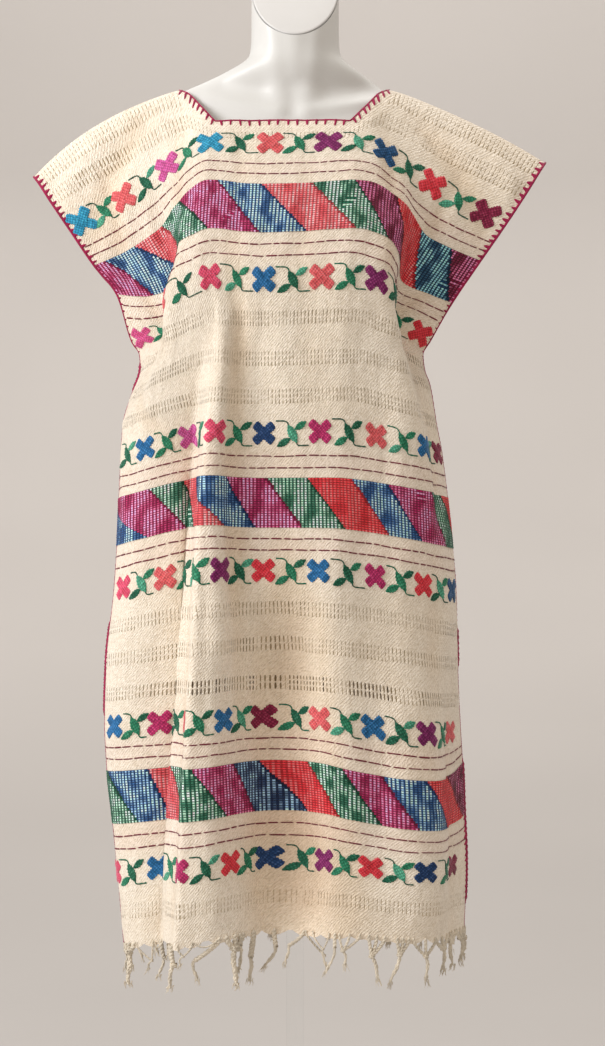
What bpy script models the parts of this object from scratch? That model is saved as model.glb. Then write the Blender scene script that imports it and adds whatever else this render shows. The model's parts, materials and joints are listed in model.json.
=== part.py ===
"""Knee-length gauze huipil with brocaded bands, on a headless, limbless dress form.

Metres, +Z up. The wearer faces -Y, and left and right are as seen from in front of them. The
origin is on the floor, on the stand's axis.
"""

import math

import bmesh
import bpy
import numpy as np

# Cloth: a front and a back of one size, joined along the shoulders and the sides.
CLOTH_WIDTH = 0.640
CLOTH_LENGTH = 1.062
WALL = 0.0016
GAP = 0.0003
ARMHOLE = 0.285

# Neck opening, cut as a trapezium across the shoulder join.
NECK_TOP = 0.121
NECK_BOTTOM = 0.083
NECK_MIDDLE = 0.004
NECK_DEPTH = {-1: 0.0487, 1: 0.026}

# The cloth's thread that hangs down the middle of the front and the back, and how far to the left
# of the form's axis the garment hangs. The tables below measure x from that line.
MIDDLE_U = -0.009
CLOTH_X = -0.009

# Stitched edgings and seams, as the cords that their thread makes.
EDGING_RADIUS = 0.0010
ARMHOLE_TURN = (0.78, 0.93)
SEAM_START = 0.22

# Fringe: strands in pairs that meet at a knot. Lengths and places vary by these shares.
FRINGE_STRIP = 0.004
CLUMPS = 20
ROOT_SPREAD = 0.0120
KNOT_SPREAD = 0.0029
END_SPREAD = 0.0090
STRAND_WIDTH = 0.0022
KNOT_DROP = 0.016
STRAND_LENGTH = 0.046
STRAND_VARIES = 0.009
STRAND_SWINGS = 0.004

# Dress form and its stand.
FORM_SIDES = 28
NECK_CUT_Z = 1.5610
NECK_CUT_SLOPE = 1.36
CAP_THICKNESS = 0.004
CAP_INSET = 0.0010
SOCKET_RADIUS = 0.026
SOCKET_HEIGHT = 0.030
POLE_RADIUS = 0.011
COLLAR_RADIUS = 0.024
COLLAR_HEIGHT = 0.045
BASE_RADIUS = 0.180
BASE_HEIGHT = 0.010
EDGE_ROUND = 0.0025
ROUND_SIDES = 32

FRONT, BACK = -1, 1
LEFT, RIGHT = -1, 1


def table(text):
    """A table's columns by name."""
    names, *lines = [line.split() for line in text.strip().splitlines()]
    values = np.array([[float(word) for word in line] for line in lines])
    return {name: values[:, i] for i, name in enumerate(names)}


# The side edges, down the armhole and then down the side seam. gape is half the armhole's opening.
SIDES = table("""
v      left_x  left_y  left_z  right_x right_y right_z gape
0.000  -0.3200  0.000  1.3240   0.3240  0.000  1.3415  0.0000
0.012  -0.3130  0.000  1.3150   0.3170  0.000  1.3310  0.0125
0.040  -0.2980  0.000  1.2920   0.2990  0.000  1.3020  0.0225
0.084  -0.2735  0.000  1.2560   0.2720  0.000  1.2610  0.0330
0.144  -0.2414  0.000  1.2090   0.2400  0.000  1.2150  0.0345
0.208  -0.2130 -0.010  1.1730   0.2050  0.000  1.1630  0.0310
0.266  -0.1940 -0.024  1.1130   0.1785  0.000  1.1160  0.0150
0.285  -0.1850 -0.036  1.0990   0.1700  0.000  1.1010  0.0000
0.314  -0.1830 -0.044  1.0800   0.1720  0.002  1.0820  0.0000
0.362  -0.1960 -0.036  1.0440   0.1790  0.004  1.0620  0.0000
0.408  -0.2060 -0.024  1.0115   0.1870  0.000  1.0127  0.0000
0.453  -0.2090 -0.020  0.9700   0.1940  0.000  0.9745  0.0000
0.569  -0.2136 -0.024  0.8590   0.2074  0.000  0.8552  0.0000
0.620  -0.2167 -0.034  0.8036   0.2117  0.000  0.8010  0.0000
0.713  -0.2250 -0.048  0.7160   0.2140  0.008  0.7090  0.0000
0.799  -0.2273 -0.044  0.6368   0.2180  0.014  0.6270  0.0000
0.851  -0.2250 -0.038  0.5820   0.2205  0.016  0.5869  0.0000
0.914  -0.2180 -0.036  0.5150   0.2230  0.014  0.5200  0.0000
0.970  -0.2123 -0.034  0.4560   0.2250  0.010  0.4621  0.0000
1.062  -0.2045 -0.032  0.3646   0.2220  0.006  0.3766  0.0000
""")

# Where the cloth's middle hangs, in front and behind.
MIDDLES = table("""
v      x       front_y front_z back_y back_z
0.000  -0.022   0.000  1.4370  0.000  1.4370
0.012  -0.022  -0.020  1.4290  0.030  1.4320
0.026  -0.022  -0.040  1.4110  0.060  1.4230
0.0487 -0.022  -0.063  1.3862  0.072  1.4010
0.084  -0.022  -0.078  1.3568  0.086  1.3680
0.144  -0.023  -0.099  1.3028  0.101  1.3100
0.208  -0.027  -0.118  1.2416  0.111  1.2480
0.266  -0.030  -0.125  1.1844  0.116  1.1910
0.362  -0.030  -0.122  1.0882  0.120  1.0950
0.453  -0.030  -0.119  0.9973  0.124  1.0040
0.568  -0.030  -0.120  0.8829  0.130  0.8895
0.668  -0.030  -0.122  0.7824  0.134  0.7890
0.764  -0.030  -0.125  0.6868  0.138  0.6930
0.851  -0.028  -0.128  0.5998  0.141  0.6060
0.970  -0.025  -0.134  0.4806  0.145  0.4870
1.062  -0.025  -0.140  0.3897  0.148  0.3950
""")

# How a row runs from the middle to a side edge. It rises by lift as far as ramp and then falls,
# curve being how hollow that fall is and sag how much it hangs. A share step of its depth, and a
# share drop of its fall, is taken in one fold, at a share at of the way out, and tuck is how far
# that fold doubles back. wrap, 0 to 1, is how squarely the row turns in to the edge, and dip is a
# hang just before it.
RUNS = {
    LEFT: table("""
v      ramp   curve  sag    at    step  drop  tuck   wrap  lift   dip
0.000  0.134  0.40   0.000  0.36  0.50  0.00  0.000  0.0   0.000  0.000
0.0487 0.118  0.10   0.004  0.36  0.50  0.00  0.000  0.0   0.001  0.000
0.084  0.108  0.05   0.009  0.50  0.30  0.00  0.000  0.0   0.005  0.000
0.115  0.105  0.02   0.012  0.53  0.36  0.05  0.001  0.0   0.011  0.000
0.144  0.103  0.00   0.014  0.56  0.42  0.12  0.003  0.0   0.0135 0.000
0.208  0.098  0.00   0.017  0.60  0.70  0.58  0.012  0.0   0.0140 0.000
0.238  0.096  0.10   0.015  0.66  0.70  0.60  0.014  0.1   0.0130 0.000
0.266  0.096  0.25   0.008  0.72  0.70  0.45  0.016  0.2   0.0090 0.000
0.314  0.098  0.20   0.000  0.82  0.45  0.10  0.010  0.5   0.0085 0.000
0.362  0.098  0.10   0.000  0.86  0.20  0.00  0.004  0.8   0.0075 0.000
0.408  0.095  0.05   0.000  0.88  0.10  0.00  0.000  0.9   0.0055 0.000
0.453  0.095  0.00   0.000  0.90  0.00  0.00  0.000  1.0   0.0055 0.000
0.508  0.095  0.00   0.000  0.90  0.00  0.00  0.000  0.9   0.0075 0.000
0.569  0.095  0.00   0.000  0.90  0.00  0.00  0.000  0.8   0.0085 0.000
0.668  0.090  0.10   0.000  0.90  0.00  0.00  0.000  0.7   0.000  0.000
0.851  0.050  0.10   0.000  0.90  0.00  0.00  0.000  0.7   0.000  0.000
1.062  0.050  0.10   0.000  0.90  0.00  0.00  0.000  0.8   0.000  0.000
"""),
    RIGHT: table("""
v      ramp   curve  sag    at    step  drop  tuck   wrap  lift   dip
0.000  0.130  0.15   0.000  0.42  0.50  0.00  0.000  0.0   0.000  0.000
0.0487 0.118  0.05   0.004  0.42  0.50  0.00  0.000  0.0   0.001  0.000
0.084  0.106  0.00   0.006  0.55  0.25  0.00  0.000  0.0   0.003  0.000
0.115  0.106  0.00   0.008  0.62  0.30  0.15  0.001  0.0   0.005  0.000
0.144  0.108  0.00   0.006  0.68  0.35  0.30  0.002  0.0   0.006  0.000
0.208  0.101  0.00   0.004  0.71  0.65  0.45  0.012  0.0   0.006  0.000
0.238  0.093  0.10   0.002  0.73  0.70  0.40  0.014  0.1   0.005  0.000
0.266  0.099  0.20   0.000  0.77  0.70  0.35  0.016  0.2   0.004  0.000
0.314  0.094  0.25   0.000  0.84  0.60  0.10  0.013  0.3   0.004  0.000
0.362  0.092  0.20   0.000  0.87  0.55  0.00  0.011  0.4   0.004  0.000
0.408  0.090  0.20   0.000  0.90  0.50  0.00  0.009  0.6   0.004  0.000
0.453  0.080  0.20   0.000  0.91  0.40  0.00  0.007  0.8   0.002  0.000
0.568  0.060  0.20   0.000  0.92  0.10  0.00  0.000  1.0   0.000  0.000
0.668  0.050  0.20   0.000  0.92  0.10  0.00  0.000  1.0   0.000  0.000
0.764  0.050  0.20   0.004  0.91  0.40  0.00  0.000  0.9   0.000  0.002
0.799  0.050  0.20   0.006  0.91  0.50  0.00  0.002  0.8   0.000  0.004
0.851  0.045  0.20   0.014  0.91  0.60  0.00  0.004  0.7   0.000  0.026
0.914  0.052  0.20   0.012  0.91  0.60  0.00  0.004  0.7   0.000  0.018
0.970  0.065  0.20   0.008  0.90  0.60  0.00  0.004  0.7   0.000  0.003
1.062  0.080  0.20   0.004  0.90  0.50  0.00  0.000  0.8   0.000  0.000
"""),
}
ROUNDNESS = 2.4
STEP_WIDTH = 0.032
TUCK_REACH = 0.16
RAMP_SOFTNESS = 0.10

# Long folds, each from its top to its bottom depth: x at both ends, how far it stands out and its
# width. A lap of 1 or -1 is a pleat, which drops sharply on its left or right side.
FOLDS = {
    FRONT: table("""
top    bottom  top_x   bottom_x  out     width   lap
0.330  1.075   -0.098  -0.146    0.044   0.042   1
0.290  0.700   -0.078  -0.078    0.007   0.018   0
0.480  1.075    0.055   0.060    0.008   0.030   0
0.640  1.075   -0.030  -0.015   -0.030   0.040   0
0.300  0.950    0.105   0.118   -0.007   0.024   0
0.260  0.700   -0.035  -0.040   -0.006   0.022   0
"""),
    BACK: table("""
top    bottom  top_x   bottom_x  out     width   lap
0.330  1.075    0.100   0.136    0.030   0.040  -1
0.300  0.800    0.070   0.075    0.007   0.020   0
0.500  1.075   -0.060  -0.070    0.009   0.030   0
0.640  1.075    0.010   0.000   -0.028   0.040   0
0.300  0.950   -0.120  -0.130   -0.007   0.026   0
"""),
}
LAP_SHARPNESS = 7.0

# The back bulges past its left side seam under the arm.
UNDERARM_BULGE = 0.012
UNDERARM_V = 0.320
UNDERARM_REACH = 0.050

# Rows of the panels, down the cloth.
ROW_DEPTHS = (0.0, 0.012, 0.030, 0.0487, 0.080, 0.112, 0.144, 0.176, 0.208, 0.237, 0.262, 0.285, 0.314,
              0.345, 0.380, 0.420, 0.460, 0.505, 0.550, 0.600, 0.650, 0.700, 0.750, 0.800, 0.850,
              0.900, 0.955, 1.010, 1.062)

# Rings of the dress form: its half width each side, how far it reaches to the front and the back,
# and how square it is (2 is an ellipse).
FORM_RINGS = table("""
z      left    right   front  back   square
0.7000 0.1420  0.1420  0.074  0.088  2.2
0.7060 0.1500  0.1500  0.080  0.095  2.2
0.8200 0.1680  0.1680  0.088  0.106  2.2
0.9000 0.1600  0.1600  0.086  0.098  2.2
0.9800 0.1320  0.1320  0.078  0.080  2.1
1.0500 0.1180  0.1180  0.074  0.072  2.1
1.1200 0.1220  0.1220  0.084  0.076  2.1
1.1800 0.1280  0.1280  0.100  0.084  2.1
1.2250 0.1350  0.1350  0.107  0.090  2.1
1.2700 0.1420  0.1400  0.100  0.092  2.1
1.3100 0.1580  0.1540  0.086  0.090  2.0
1.3500 0.1780  0.1700  0.072  0.080  1.9
1.3800 0.1860  0.1740  0.058  0.068  1.7
1.4000 0.1810  0.1640  0.049  0.061  1.4
1.4150 0.1700  0.1430  0.045  0.054  1.3
1.4250 0.1557  0.1264  0.044  0.051  1.25
1.4330 0.1391  0.1118  0.043  0.050  1.3
1.4430 0.1140  0.0985  0.044  0.050  1.5
1.4580 0.0820  0.0780  0.049  0.054  1.9
1.4700 0.0610  0.0610  0.050  0.054  2.0
1.4800 0.0555  0.0555  0.050  0.053  2.0
""")


class Curve:
    """A smooth curve through a table's column that doesn't overshoot its values."""

    def __init__(self, places, values):
        self.places, self.values = places, values
        rise = np.diff(values) / np.diff(places)
        self.slopes = np.concatenate([rise[:1], np.zeros(len(places) - 2), rise[-1:]])
        for i in range(1, len(places) - 1):
            before, after = rise[i - 1], rise[i]
            if before * after > 0:
                self.slopes[i] = 2 * before * after / (before + after)

    def __call__(self, place):
        place = min(max(place, self.places[0]), self.places[-1])
        i = min(max(int(np.searchsorted(self.places, place)) - 1, 0), len(self.places) - 2)
        span = self.places[i + 1] - self.places[i]
        t = (place - self.places[i]) / span
        start = (1 + 2 * t) * (1 - t) ** 2 * self.values[i] + t * (1 - t) ** 2 * span * self.slopes[i]
        end = t * t * (3 - 2 * t) * self.values[i + 1] - t * t * (1 - t) * span * self.slopes[i + 1]
        return start + end


def curves(columns, key):
    return {name: Curve(columns[key], column) for name, column in columns.items() if name != key}


SIDE_AT = curves(SIDES, "v")
MIDDLE_AT = curves(MIDDLES, "v")
RUN_AT = {side: curves(columns, "v") for side, columns in RUNS.items()}
SIDE_NAMES = {LEFT: "left", RIGHT: "right"}
FACE_NAMES = {FRONT: "front", BACK: "back"}
ROW_SAMPLES = 160


def ease(t):
    t = np.clip(t, 0.0, 1.0)
    return t * t * (3 - 2 * t)


def fold_relief(face, x, v):
    """How far the long folds push a row out, at each x."""
    relief = np.zeros_like(x)
    for top, bottom, top_x, bottom_x, out, width, lap in zip(*FOLDS[face].values()):
        along = (v - top) / (bottom - top)
        fade = ease(along / 0.25) * ease((1.12 - along) / 0.12)
        off = (x - top_x - (bottom_x - top_x) * min(max(along, 0.0), 1.0)) / width
        shape = np.tanh(lap * off * LAP_SHARPNESS) * np.exp(-np.abs(off)) if lap else np.exp(-off * off)
        relief += out * fade * shape
    return relief


def half_row(face, side, v):
    """Close points along one row, from the middle of the cloth out to one side edge."""
    name = SIDE_NAMES[side]
    run = {key: curve(v) for key, curve in RUN_AT[side].items()}
    middle_x = MIDDLE_AT["x"](v)
    middle_y = MIDDLE_AT[FACE_NAMES[face] + "_y"](v)
    middle_z = MIDDLE_AT[FACE_NAMES[face] + "_z"](v)
    edge_x = SIDE_AT[name + "_x"](v)
    edge_y = SIDE_AT[name + "_y"](v) + face * SIDE_AT["gape"](v)
    edge_z = SIDE_AT[name + "_z"](v)
    t = 1 - (1 - np.linspace(0, 1, ROW_SAMPLES)) ** (1 + run["wrap"])
    near = np.clip((t - run["at"]) / TUCK_REACH, -1, 1)
    aside = -run["tuck"] * np.sin(math.pi * near) * (1 - near * near) * (1 - t**12)
    if (face, side) == (BACK, LEFT):
        under_arm = math.exp(-(((v - UNDERARM_V) / UNDERARM_REACH) ** 2))
        aside = aside + UNDERARM_BULGE * under_arm * t**8 * (1 - t) * 23
    plain = middle_x + (edge_x - middle_x) * t
    x = plain + side * aside
    low = 1 / (1 + math.exp(run["at"] / STEP_WIDTH))
    high = 1 / (1 + math.exp((run["at"] - 1) / STEP_WIDTH))
    step = (1 / (1 + np.exp((run["at"] - t) / STEP_WIDTH)) - low) / (high - low)
    gentle = 1 - (1 - t**ROUNDNESS) ** (1 / (1 + run["wrap"] * (ROUNDNESS - 1)))
    depth = run["step"] * step + (1 - run["step"]) * gentle
    y = middle_y + (edge_y - middle_y) * depth + face * fold_relief(face, x, v) * (1 - t**6)
    reach = (side * plain - run["ramp"]) / (side * edge_x - run["ramp"])
    soft = (reach + np.sqrt(reach * reach + RAMP_SOFTNESS**2)) / (1 + math.hypot(1, RAMP_SOFTNESS))
    fall = (1 - run["drop"]) * (soft + run["curve"] * (soft**3 - soft)) + run["drop"] * step
    rise = run["lift"] * ease(t * abs(edge_x - middle_x) / (run["ramp"] + abs(middle_x)))
    top_z = middle_z + rise
    hang = run["sag"] * np.sin(math.pi * np.clip(soft, 0, 1)) + run["dip"] * t**6 * (1 - t**12)
    z = top_z + (edge_z - top_z) * fall - hang
    return np.stack([x, y, z], axis=1)


def row_points(face, v, places):
    """Points of one row at these places across the cloth, its length shared out evenly."""
    points = np.zeros((len(places), 3))
    for side in (LEFT, RIGHT):
        close = half_row(face, side, v)
        length = np.concatenate([[0], np.cumsum(np.linalg.norm(np.diff(close, axis=0), axis=1))])
        mine = (places - MIDDLE_U) * side >= 0
        share = np.abs(places[mine] - MIDDLE_U) / (CLOTH_WIDTH / 2 - MIDDLE_U * side)
        for axis in range(3):
            points[mine, axis] = np.interp(share * length[-1], length, close[:, axis])
    return points + np.array([CLOTH_X, 0.0, 0.0])


def neckline(face, u):
    """Depth of the neck opening's edge at u, and 0 past its ends."""
    slant = (NECK_TOP - abs(u - NECK_MIDDLE)) / (NECK_TOP - NECK_BOTTOM)
    return NECK_DEPTH[face] * min(max(slant, 0.0), 1.0)


def in_neck(u):
    return abs(u - NECK_MIDDLE) <= NECK_TOP + 1e-9


def on_neck_end(u):
    return abs(abs(u - NECK_MIDDLE) - NECK_TOP) < 1e-9


def places_across():
    """Places across the cloth, with one on each corner of the neck opening."""
    neck = [NECK_MIDDLE + far for far in (-NECK_TOP, -NECK_BOTTOM, NECK_BOTTOM, NECK_TOP)]
    corners = (-CLOTH_WIDTH / 2, *neck, CLOTH_WIDTH / 2)
    cells = (10, 2, 8, 2, 10)
    places = [corners[0]]
    for start, end, count in zip(corners, corners[1:], cells):
        places += [start + (end - start) * (i + 1) / count for i in range(count)]
    return places


def clear_of_seam(inner, edge, face):
    """An edge point moved back from a seam, so that the two walls' corners stay a gap apart."""
    run = edge - inner
    lean = math.hypot(run[0], run[2]) / np.linalg.norm(run)
    return edge + np.array([0.0, face * (GAP / 2 + WALL / 2 * min(lean * 1.05, 1.0)), 0.0])


def unit(vector):
    return vector / np.linalg.norm(vector)


def across(vector, direction):
    """The part of a vector square to a direction, as a unit vector."""
    direction = unit(direction)
    return unit(vector - direction * np.dot(vector, direction))


def panel_points(face):
    """A panel's points on the middle of its wall, by row and by place across."""
    places = places_across()
    grid = np.zeros((len(ROW_DEPTHS), len(places), 3))
    for j, place in enumerate(places):
        top = neckline(face, place)
        for i, depth in enumerate(ROW_DEPTHS):
            v = top + depth * (1 - top / CLOTH_LENGTH)
            grid[i, j] = row_points(face, v, np.array([place]))[0]
    shoulder = [j for j, place in enumerate(places) if not in_neck(place) or on_neck_end(place)]
    moved = {(0, j): clear_of_seam(grid[1, j], grid[0, j], face) for j in shoulder}
    for i in range(1, len(ROW_DEPTHS)):
        moved[i, 0] = clear_of_seam(grid[i, 1], grid[i, 0], face)
        moved[i, len(places) - 1] = clear_of_seam(grid[i, -2], grid[i, -1], face)
    for (i, j), point in moved.items():
        grid[i, j] = point
    return grid


def edge_normal(grid, i, side, face):
    """The way that a panel's wall faces at its side edge."""
    edge, inner = (0, 1) if side == LEFT else (-1, -2)
    below = grid[min(i + 1, len(grid) - 1), edge]
    above = grid[i - 1, edge]
    out = unit(np.cross(grid[i, edge] - grid[i, inner], below - above))
    return out if out[0] * side + out[1] * face > 0 else -out


def link(obj, material):
    obj.data.materials.append(material)
    parts.objects.link(obj)
    return obj


def add_mesh(name, points, faces, material):
    mesh = bpy.data.meshes.new(name)
    mesh.from_pydata([tuple(point) for point in points], [], faces)
    return link(bpy.data.objects.new(name, mesh), material)


def turn_faces_out(obj):
    shell = bmesh.new()
    shell.from_mesh(obj.data)
    bmesh.ops.recalc_face_normals(shell, faces=shell.faces)
    shell.to_mesh(obj.data)
    shell.free()


def add_panel(name, grid, material):
    """Cloth as a wall of even thickness about the grid's points."""
    high, wide = grid.shape[:2]
    faces = []
    for i in range(high - 1):
        for j in range(wide - 1):
            corner = i * wide + j
            faces.append((corner, corner + wide, corner + wide + 1, corner + 1))
    obj = add_mesh(name, grid.reshape(-1, 3), faces, material)
    wall = obj.modifiers.new("wall", "SOLIDIFY")
    wall.thickness = WALL
    wall.offset = 0
    return obj


def add_cord(name, points, closed, material):
    """A thin cord of stitching along these points."""
    curve = bpy.data.curves.new(name, "CURVE")
    curve.dimensions = "3D"
    curve.bevel_depth = EDGING_RADIUS
    curve.bevel_resolution = 0
    curve.use_fill_caps = not closed
    spline = curve.splines.new("POLY")
    spline.points.add(len(points) - 1)
    spline.use_cyclic_u = closed
    for place, point in zip(spline.points, points):
        place.co = (*point, 1.0)
    return link(bpy.data.objects.new(name, curve), material)


def neck_half(face):
    """The edging's points along one half of the neck opening, from left to right, with its ends
    on the panel's own corners."""
    grid = grids[face]
    columns = [j for j, place in enumerate(places_across()) if in_neck(place)]
    edge = [grid[0, j] for j in columns]
    points = []
    for i, j in enumerate(columns):
        along = edge[min(i + 1, len(edge) - 1)] - edge[max(i - 1, 0)]
        out = across(grid[0, j] - grid[1, j], along)
        points.append(grid[0, j] + out * (EDGING_RADIUS + GAP))
    return points


def neck_ring():
    front, back = neck_half(FRONT), neck_half(BACK)
    left = (front[0] + back[0]) / 2 + np.array([GAP, 0, GAP])
    right = (front[-1] + back[-1]) / 2 + np.array([-GAP, 0, GAP])
    return [left, *front[1:-1], right, *back[-2:0:-1]]


def armhole_ring(side):
    """The edging's points round an armhole: down the front, up the back."""
    edge, inner = (0, 1) if side == LEFT else (-1, -2)
    last = ROW_DEPTHS.index(ARMHOLE)
    halves = {}
    for face in (FRONT, BACK):
        grid = grids[face]
        points = []
        for i in range(last + 1):
            along = grid[i + 1, edge] - grid[max(i - 1, 0), edge]
            out = across(grid[i, edge] - grid[i, inner], along)
            points.append(grid[i, edge] + out * (EDGING_RADIUS + GAP))
        halves[face] = points
    down, up = halves[FRONT], halves[BACK]
    top = (down[0] + up[0]) / 2 + np.array([side * GAP, 0, GAP])
    turns = [[half[-2] + (half[-1] - half[-2]) * share for share in ARMHOLE_TURN] for half in (down, up)]
    foot = (turns[0][1] + turns[1][1]) / 2
    return [top, *down[1:-1], turns[0][0], foot, turns[1][0], *up[-2:0:-1]]


def seam_line(side):
    """The seam's points, just outside the join of the two panels."""
    edge = 0 if side == LEFT else -1
    first = ROW_DEPTHS.index(ARMHOLE)
    points = []
    for i in range(first, len(ROW_DEPTHS)):
        out = unit(sum(edge_normal(grids[face], i, side, face) for face in (FRONT, BACK)))
        join = (grids[FRONT][i, edge] + grids[BACK][i, edge]) / 2
        points.append(join + out * (WALL / 2 + GAP + EDGING_RADIUS))
    points[0] = points[0] + (points[1] - points[0]) * SEAM_START
    return points


def strands():
    """Each strand's two root edges across the cloth, and its clump's place, length and swing."""
    found = []
    for i in range(CLUMPS):
        middle = (i + 0.5 + 0.16 * math.sin(2.4 * i + 0.7)) / CLUMPS * CLOTH_WIDTH - CLOTH_WIDTH / 2
        length = STRAND_LENGTH + STRAND_VARIES * math.sin(3.7 * i + 1.1)
        swing = STRAND_SWINGS * math.sin(5.1 * i)
        for hand in (-1, 1):
            root = middle + hand * ROOT_SPREAD / 2
            uneven = 1 + 0.12 * math.sin(7.3 * i + 2.0 * hand)
            found.append((root - STRAND_WIDTH / 2, root + STRAND_WIDTH / 2, hand, length * uneven, swing))
    return found


def hem_frame(face, place):
    """The hem's point at a place across the cloth, and the ways down, along and out of it there."""
    grid, places = grids[face], places_across()
    j = min(max(int(np.searchsorted(places, place)) - 1, 0), len(places) - 2)
    t = (place - places[j]) / (places[j + 1] - places[j])
    point = grid[-1, j] + (grid[-1, j + 1] - grid[-1, j]) * t
    above = grid[-2, j] + (grid[-2, j + 1] - grid[-2, j]) * t
    down = unit(point - above)
    along = across(grid[-1, j + 1] - grid[-1, j], down)
    return point, down, along, np.cross(along, down) * face


def add_fringe(name, face, material):
    """A narrow strip under the hem with the strands hanging from its underside."""
    lots = strands()
    places = [-CLOTH_WIDTH / 2] + [edge for lot in lots for edge in lot[:2]] + [CLOTH_WIDTH / 2]
    points, faces = [], []
    for place in places:
        point, down, along, out = hem_frame(face, place)
        for outwards, drop in ((1, 0), (-1, 0), (-1, FRINGE_STRIP), (1, FRINGE_STRIP)):
            points.append(point + out * outwards * WALL / 2 + down * (GAP * 1.6 + drop))
    for k in range(len(places) - 1):
        near, far = 4 * k, 4 * k + 4
        faces += [(near, far, far + 1, near + 1), (near + 1, far + 1, far + 2, near + 2)]
        faces.append((near + 3, near, far, far + 3)[::-1])
        if k % 2 == 0:
            faces.append((near + 2, far + 2, far + 3, near + 3))
    faces += [(0, 1, 2, 3), tuple(range(len(points) - 1, len(points) - 5, -1))]
    for k, (start, end, hand, length, swing) in enumerate(lots):
        _, down, along, out = hem_frame(face, (start + end) / 2)
        near, far = 8 * k + 4, 8 * k + 8
        ring = [near + 2, far + 2, far + 3, near + 3]
        root = sum(points[i] for i in ring) / 4
        for drop, spread in ((KNOT_DROP, KNOT_SPREAD), (length, END_SPREAD)):
            aside = hand * (spread - ROOT_SPREAD) / 2 + swing * drop / STRAND_LENGTH
            middle = root + along * aside + np.array([0.0, 0.0, -drop])
            half, thick = along * STRAND_WIDTH / 2, out * WALL / 2
            corners = (-half - thick, half - thick, half + thick, thick - half)
            below = [len(points) + i for i in range(4)]
            points += [middle + corner for corner in corners]
            faces += [(ring[i], ring[(i + 1) % 4], below[(i + 1) % 4], below[i]) for i in range(4)]
            ring = below
        faces.append(tuple(ring))
    turn_faces_out(add_mesh(name, points, faces, material))


def form_ring(left, right, front, back, square):
    ring = []
    for i in range(FORM_SIDES):
        turn = 2 * math.pi * i / FORM_SIDES
        cos, sin = math.cos(turn), math.sin(turn)
        x = math.copysign(abs(cos) ** (2 / square), cos) * (right if cos > 0 else left)
        y = math.copysign(abs(sin) ** (2 / square), sin) * (back if sin > 0 else front)
        ring.append((x, y))
    return ring


def cut_height(y):
    return NECK_CUT_Z + NECK_CUT_SLOPE * y


def add_form(material):
    points = []
    for z, *sizes in zip(*FORM_RINGS.values()):
        ring = form_ring(*sizes)
        points += [(x, y, z) for x, y in ring]
    points += [(x, y, cut_height(y)) for x, y in ring]
    rings = len(points) // FORM_SIDES
    faces = [tuple(reversed(range(FORM_SIDES)))]
    for i in range(rings - 1):
        for j in range(FORM_SIDES):
            near, far = i * FORM_SIDES + j, i * FORM_SIDES + (j + 1) % FORM_SIDES
            faces.append((near, far, far + FORM_SIDES, near + FORM_SIDES))
    faces.append(tuple(range((rings - 1) * FORM_SIDES, rings * FORM_SIDES)))
    add_mesh("dress_form", points, faces, material)


def add_cap(material):
    """The plate that closes the slanting neck."""
    *_, sizes = zip(*[column for name, column in FORM_RINGS.items() if name != "z"])
    shrink = 1 - CAP_INSET / sizes[0]
    away = unit(np.array([0.0, -NECK_CUT_SLOPE, 1.0])) * GAP
    ring = [np.array([x, y, cut_height(y)]) for x, y in form_ring(*sizes)]
    middle = sum(ring) / len(ring)
    points = [middle + (point - middle) * shrink + away for point in ring]
    cap = add_mesh("neck_cap", points, [tuple(range(FORM_SIDES))], material)
    wall = cap.modifiers.new("wall", "SOLIDIFY")
    wall.thickness = CAP_THICKNESS
    wall.offset = 1


def add_turned(name, profile, material):
    """A profile of (radius, height) points turned about the axis, outward side on its right."""
    mesh = bpy.data.meshes.new(name)
    count = len(profile)
    ring = profile[0][0] > 0
    edges = [(i, i + 1) for i in range(count - 1)] + ([(count - 1, 0)] if ring else [])
    mesh.from_pydata([(r, 0.0, z) for r, z in profile], edges, [])
    obj = link(bpy.data.objects.new(name, mesh), material)
    turn = obj.modifiers.new("turn", "SCREW")
    turn.steps = turn.render_steps = ROUND_SIDES
    turn.use_merge_vertices = True
    turn.merge_threshold = 0.0001
    turn.use_normal_flip = True


def add_stand(steel, clear):
    low = FORM_RINGS["z"][0]
    top, foot, bore = low - GAP, BASE_HEIGHT + GAP, POLE_RADIUS + GAP
    r, h, e = BASE_RADIUS, BASE_HEIGHT, EDGE_ROUND
    base = ((0, 0), (r - e, 0), (r, e), (r, h - e), (r - e, h), (0, h))
    r, h = COLLAR_RADIUS, foot + COLLAR_HEIGHT
    collar = ((bore, foot), (r * 1.4, foot), (r, foot + e * 3), (r, h - e), (r - e, h), (bore, h))
    r, h = SOCKET_RADIUS, top - SOCKET_HEIGHT
    socket = ((bore, h), (r - e, h), (r, h + e), (r, top - e), (r - e, top), (bore, top))
    r = POLE_RADIUS
    add_turned("stand_base", base, steel)
    add_turned("pole_collar", collar, steel)
    add_turned("pole_socket", socket, steel)
    add_turned("stand_pole", ((0, foot), (r, foot), (r, top), (0, top)), clear)


def make_material(name, colour, roughness, transmission=0.0):
    material = bpy.data.materials.new(name)
    material.use_nodes = True
    shader = material.node_tree.nodes["Principled BSDF"]
    shader.inputs["Base Color"].default_value = (*colour, 1.0)
    shader.inputs["Roughness"].default_value = roughness
    shader.inputs["Transmission Weight"].default_value = transmission
    return material


for old in list(bpy.data.objects):
    bpy.data.objects.remove(old, do_unlink=True)
parts = bpy.data.collections.new("huipil_blouse")
bpy.context.scene.collection.children.link(parts)

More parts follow.
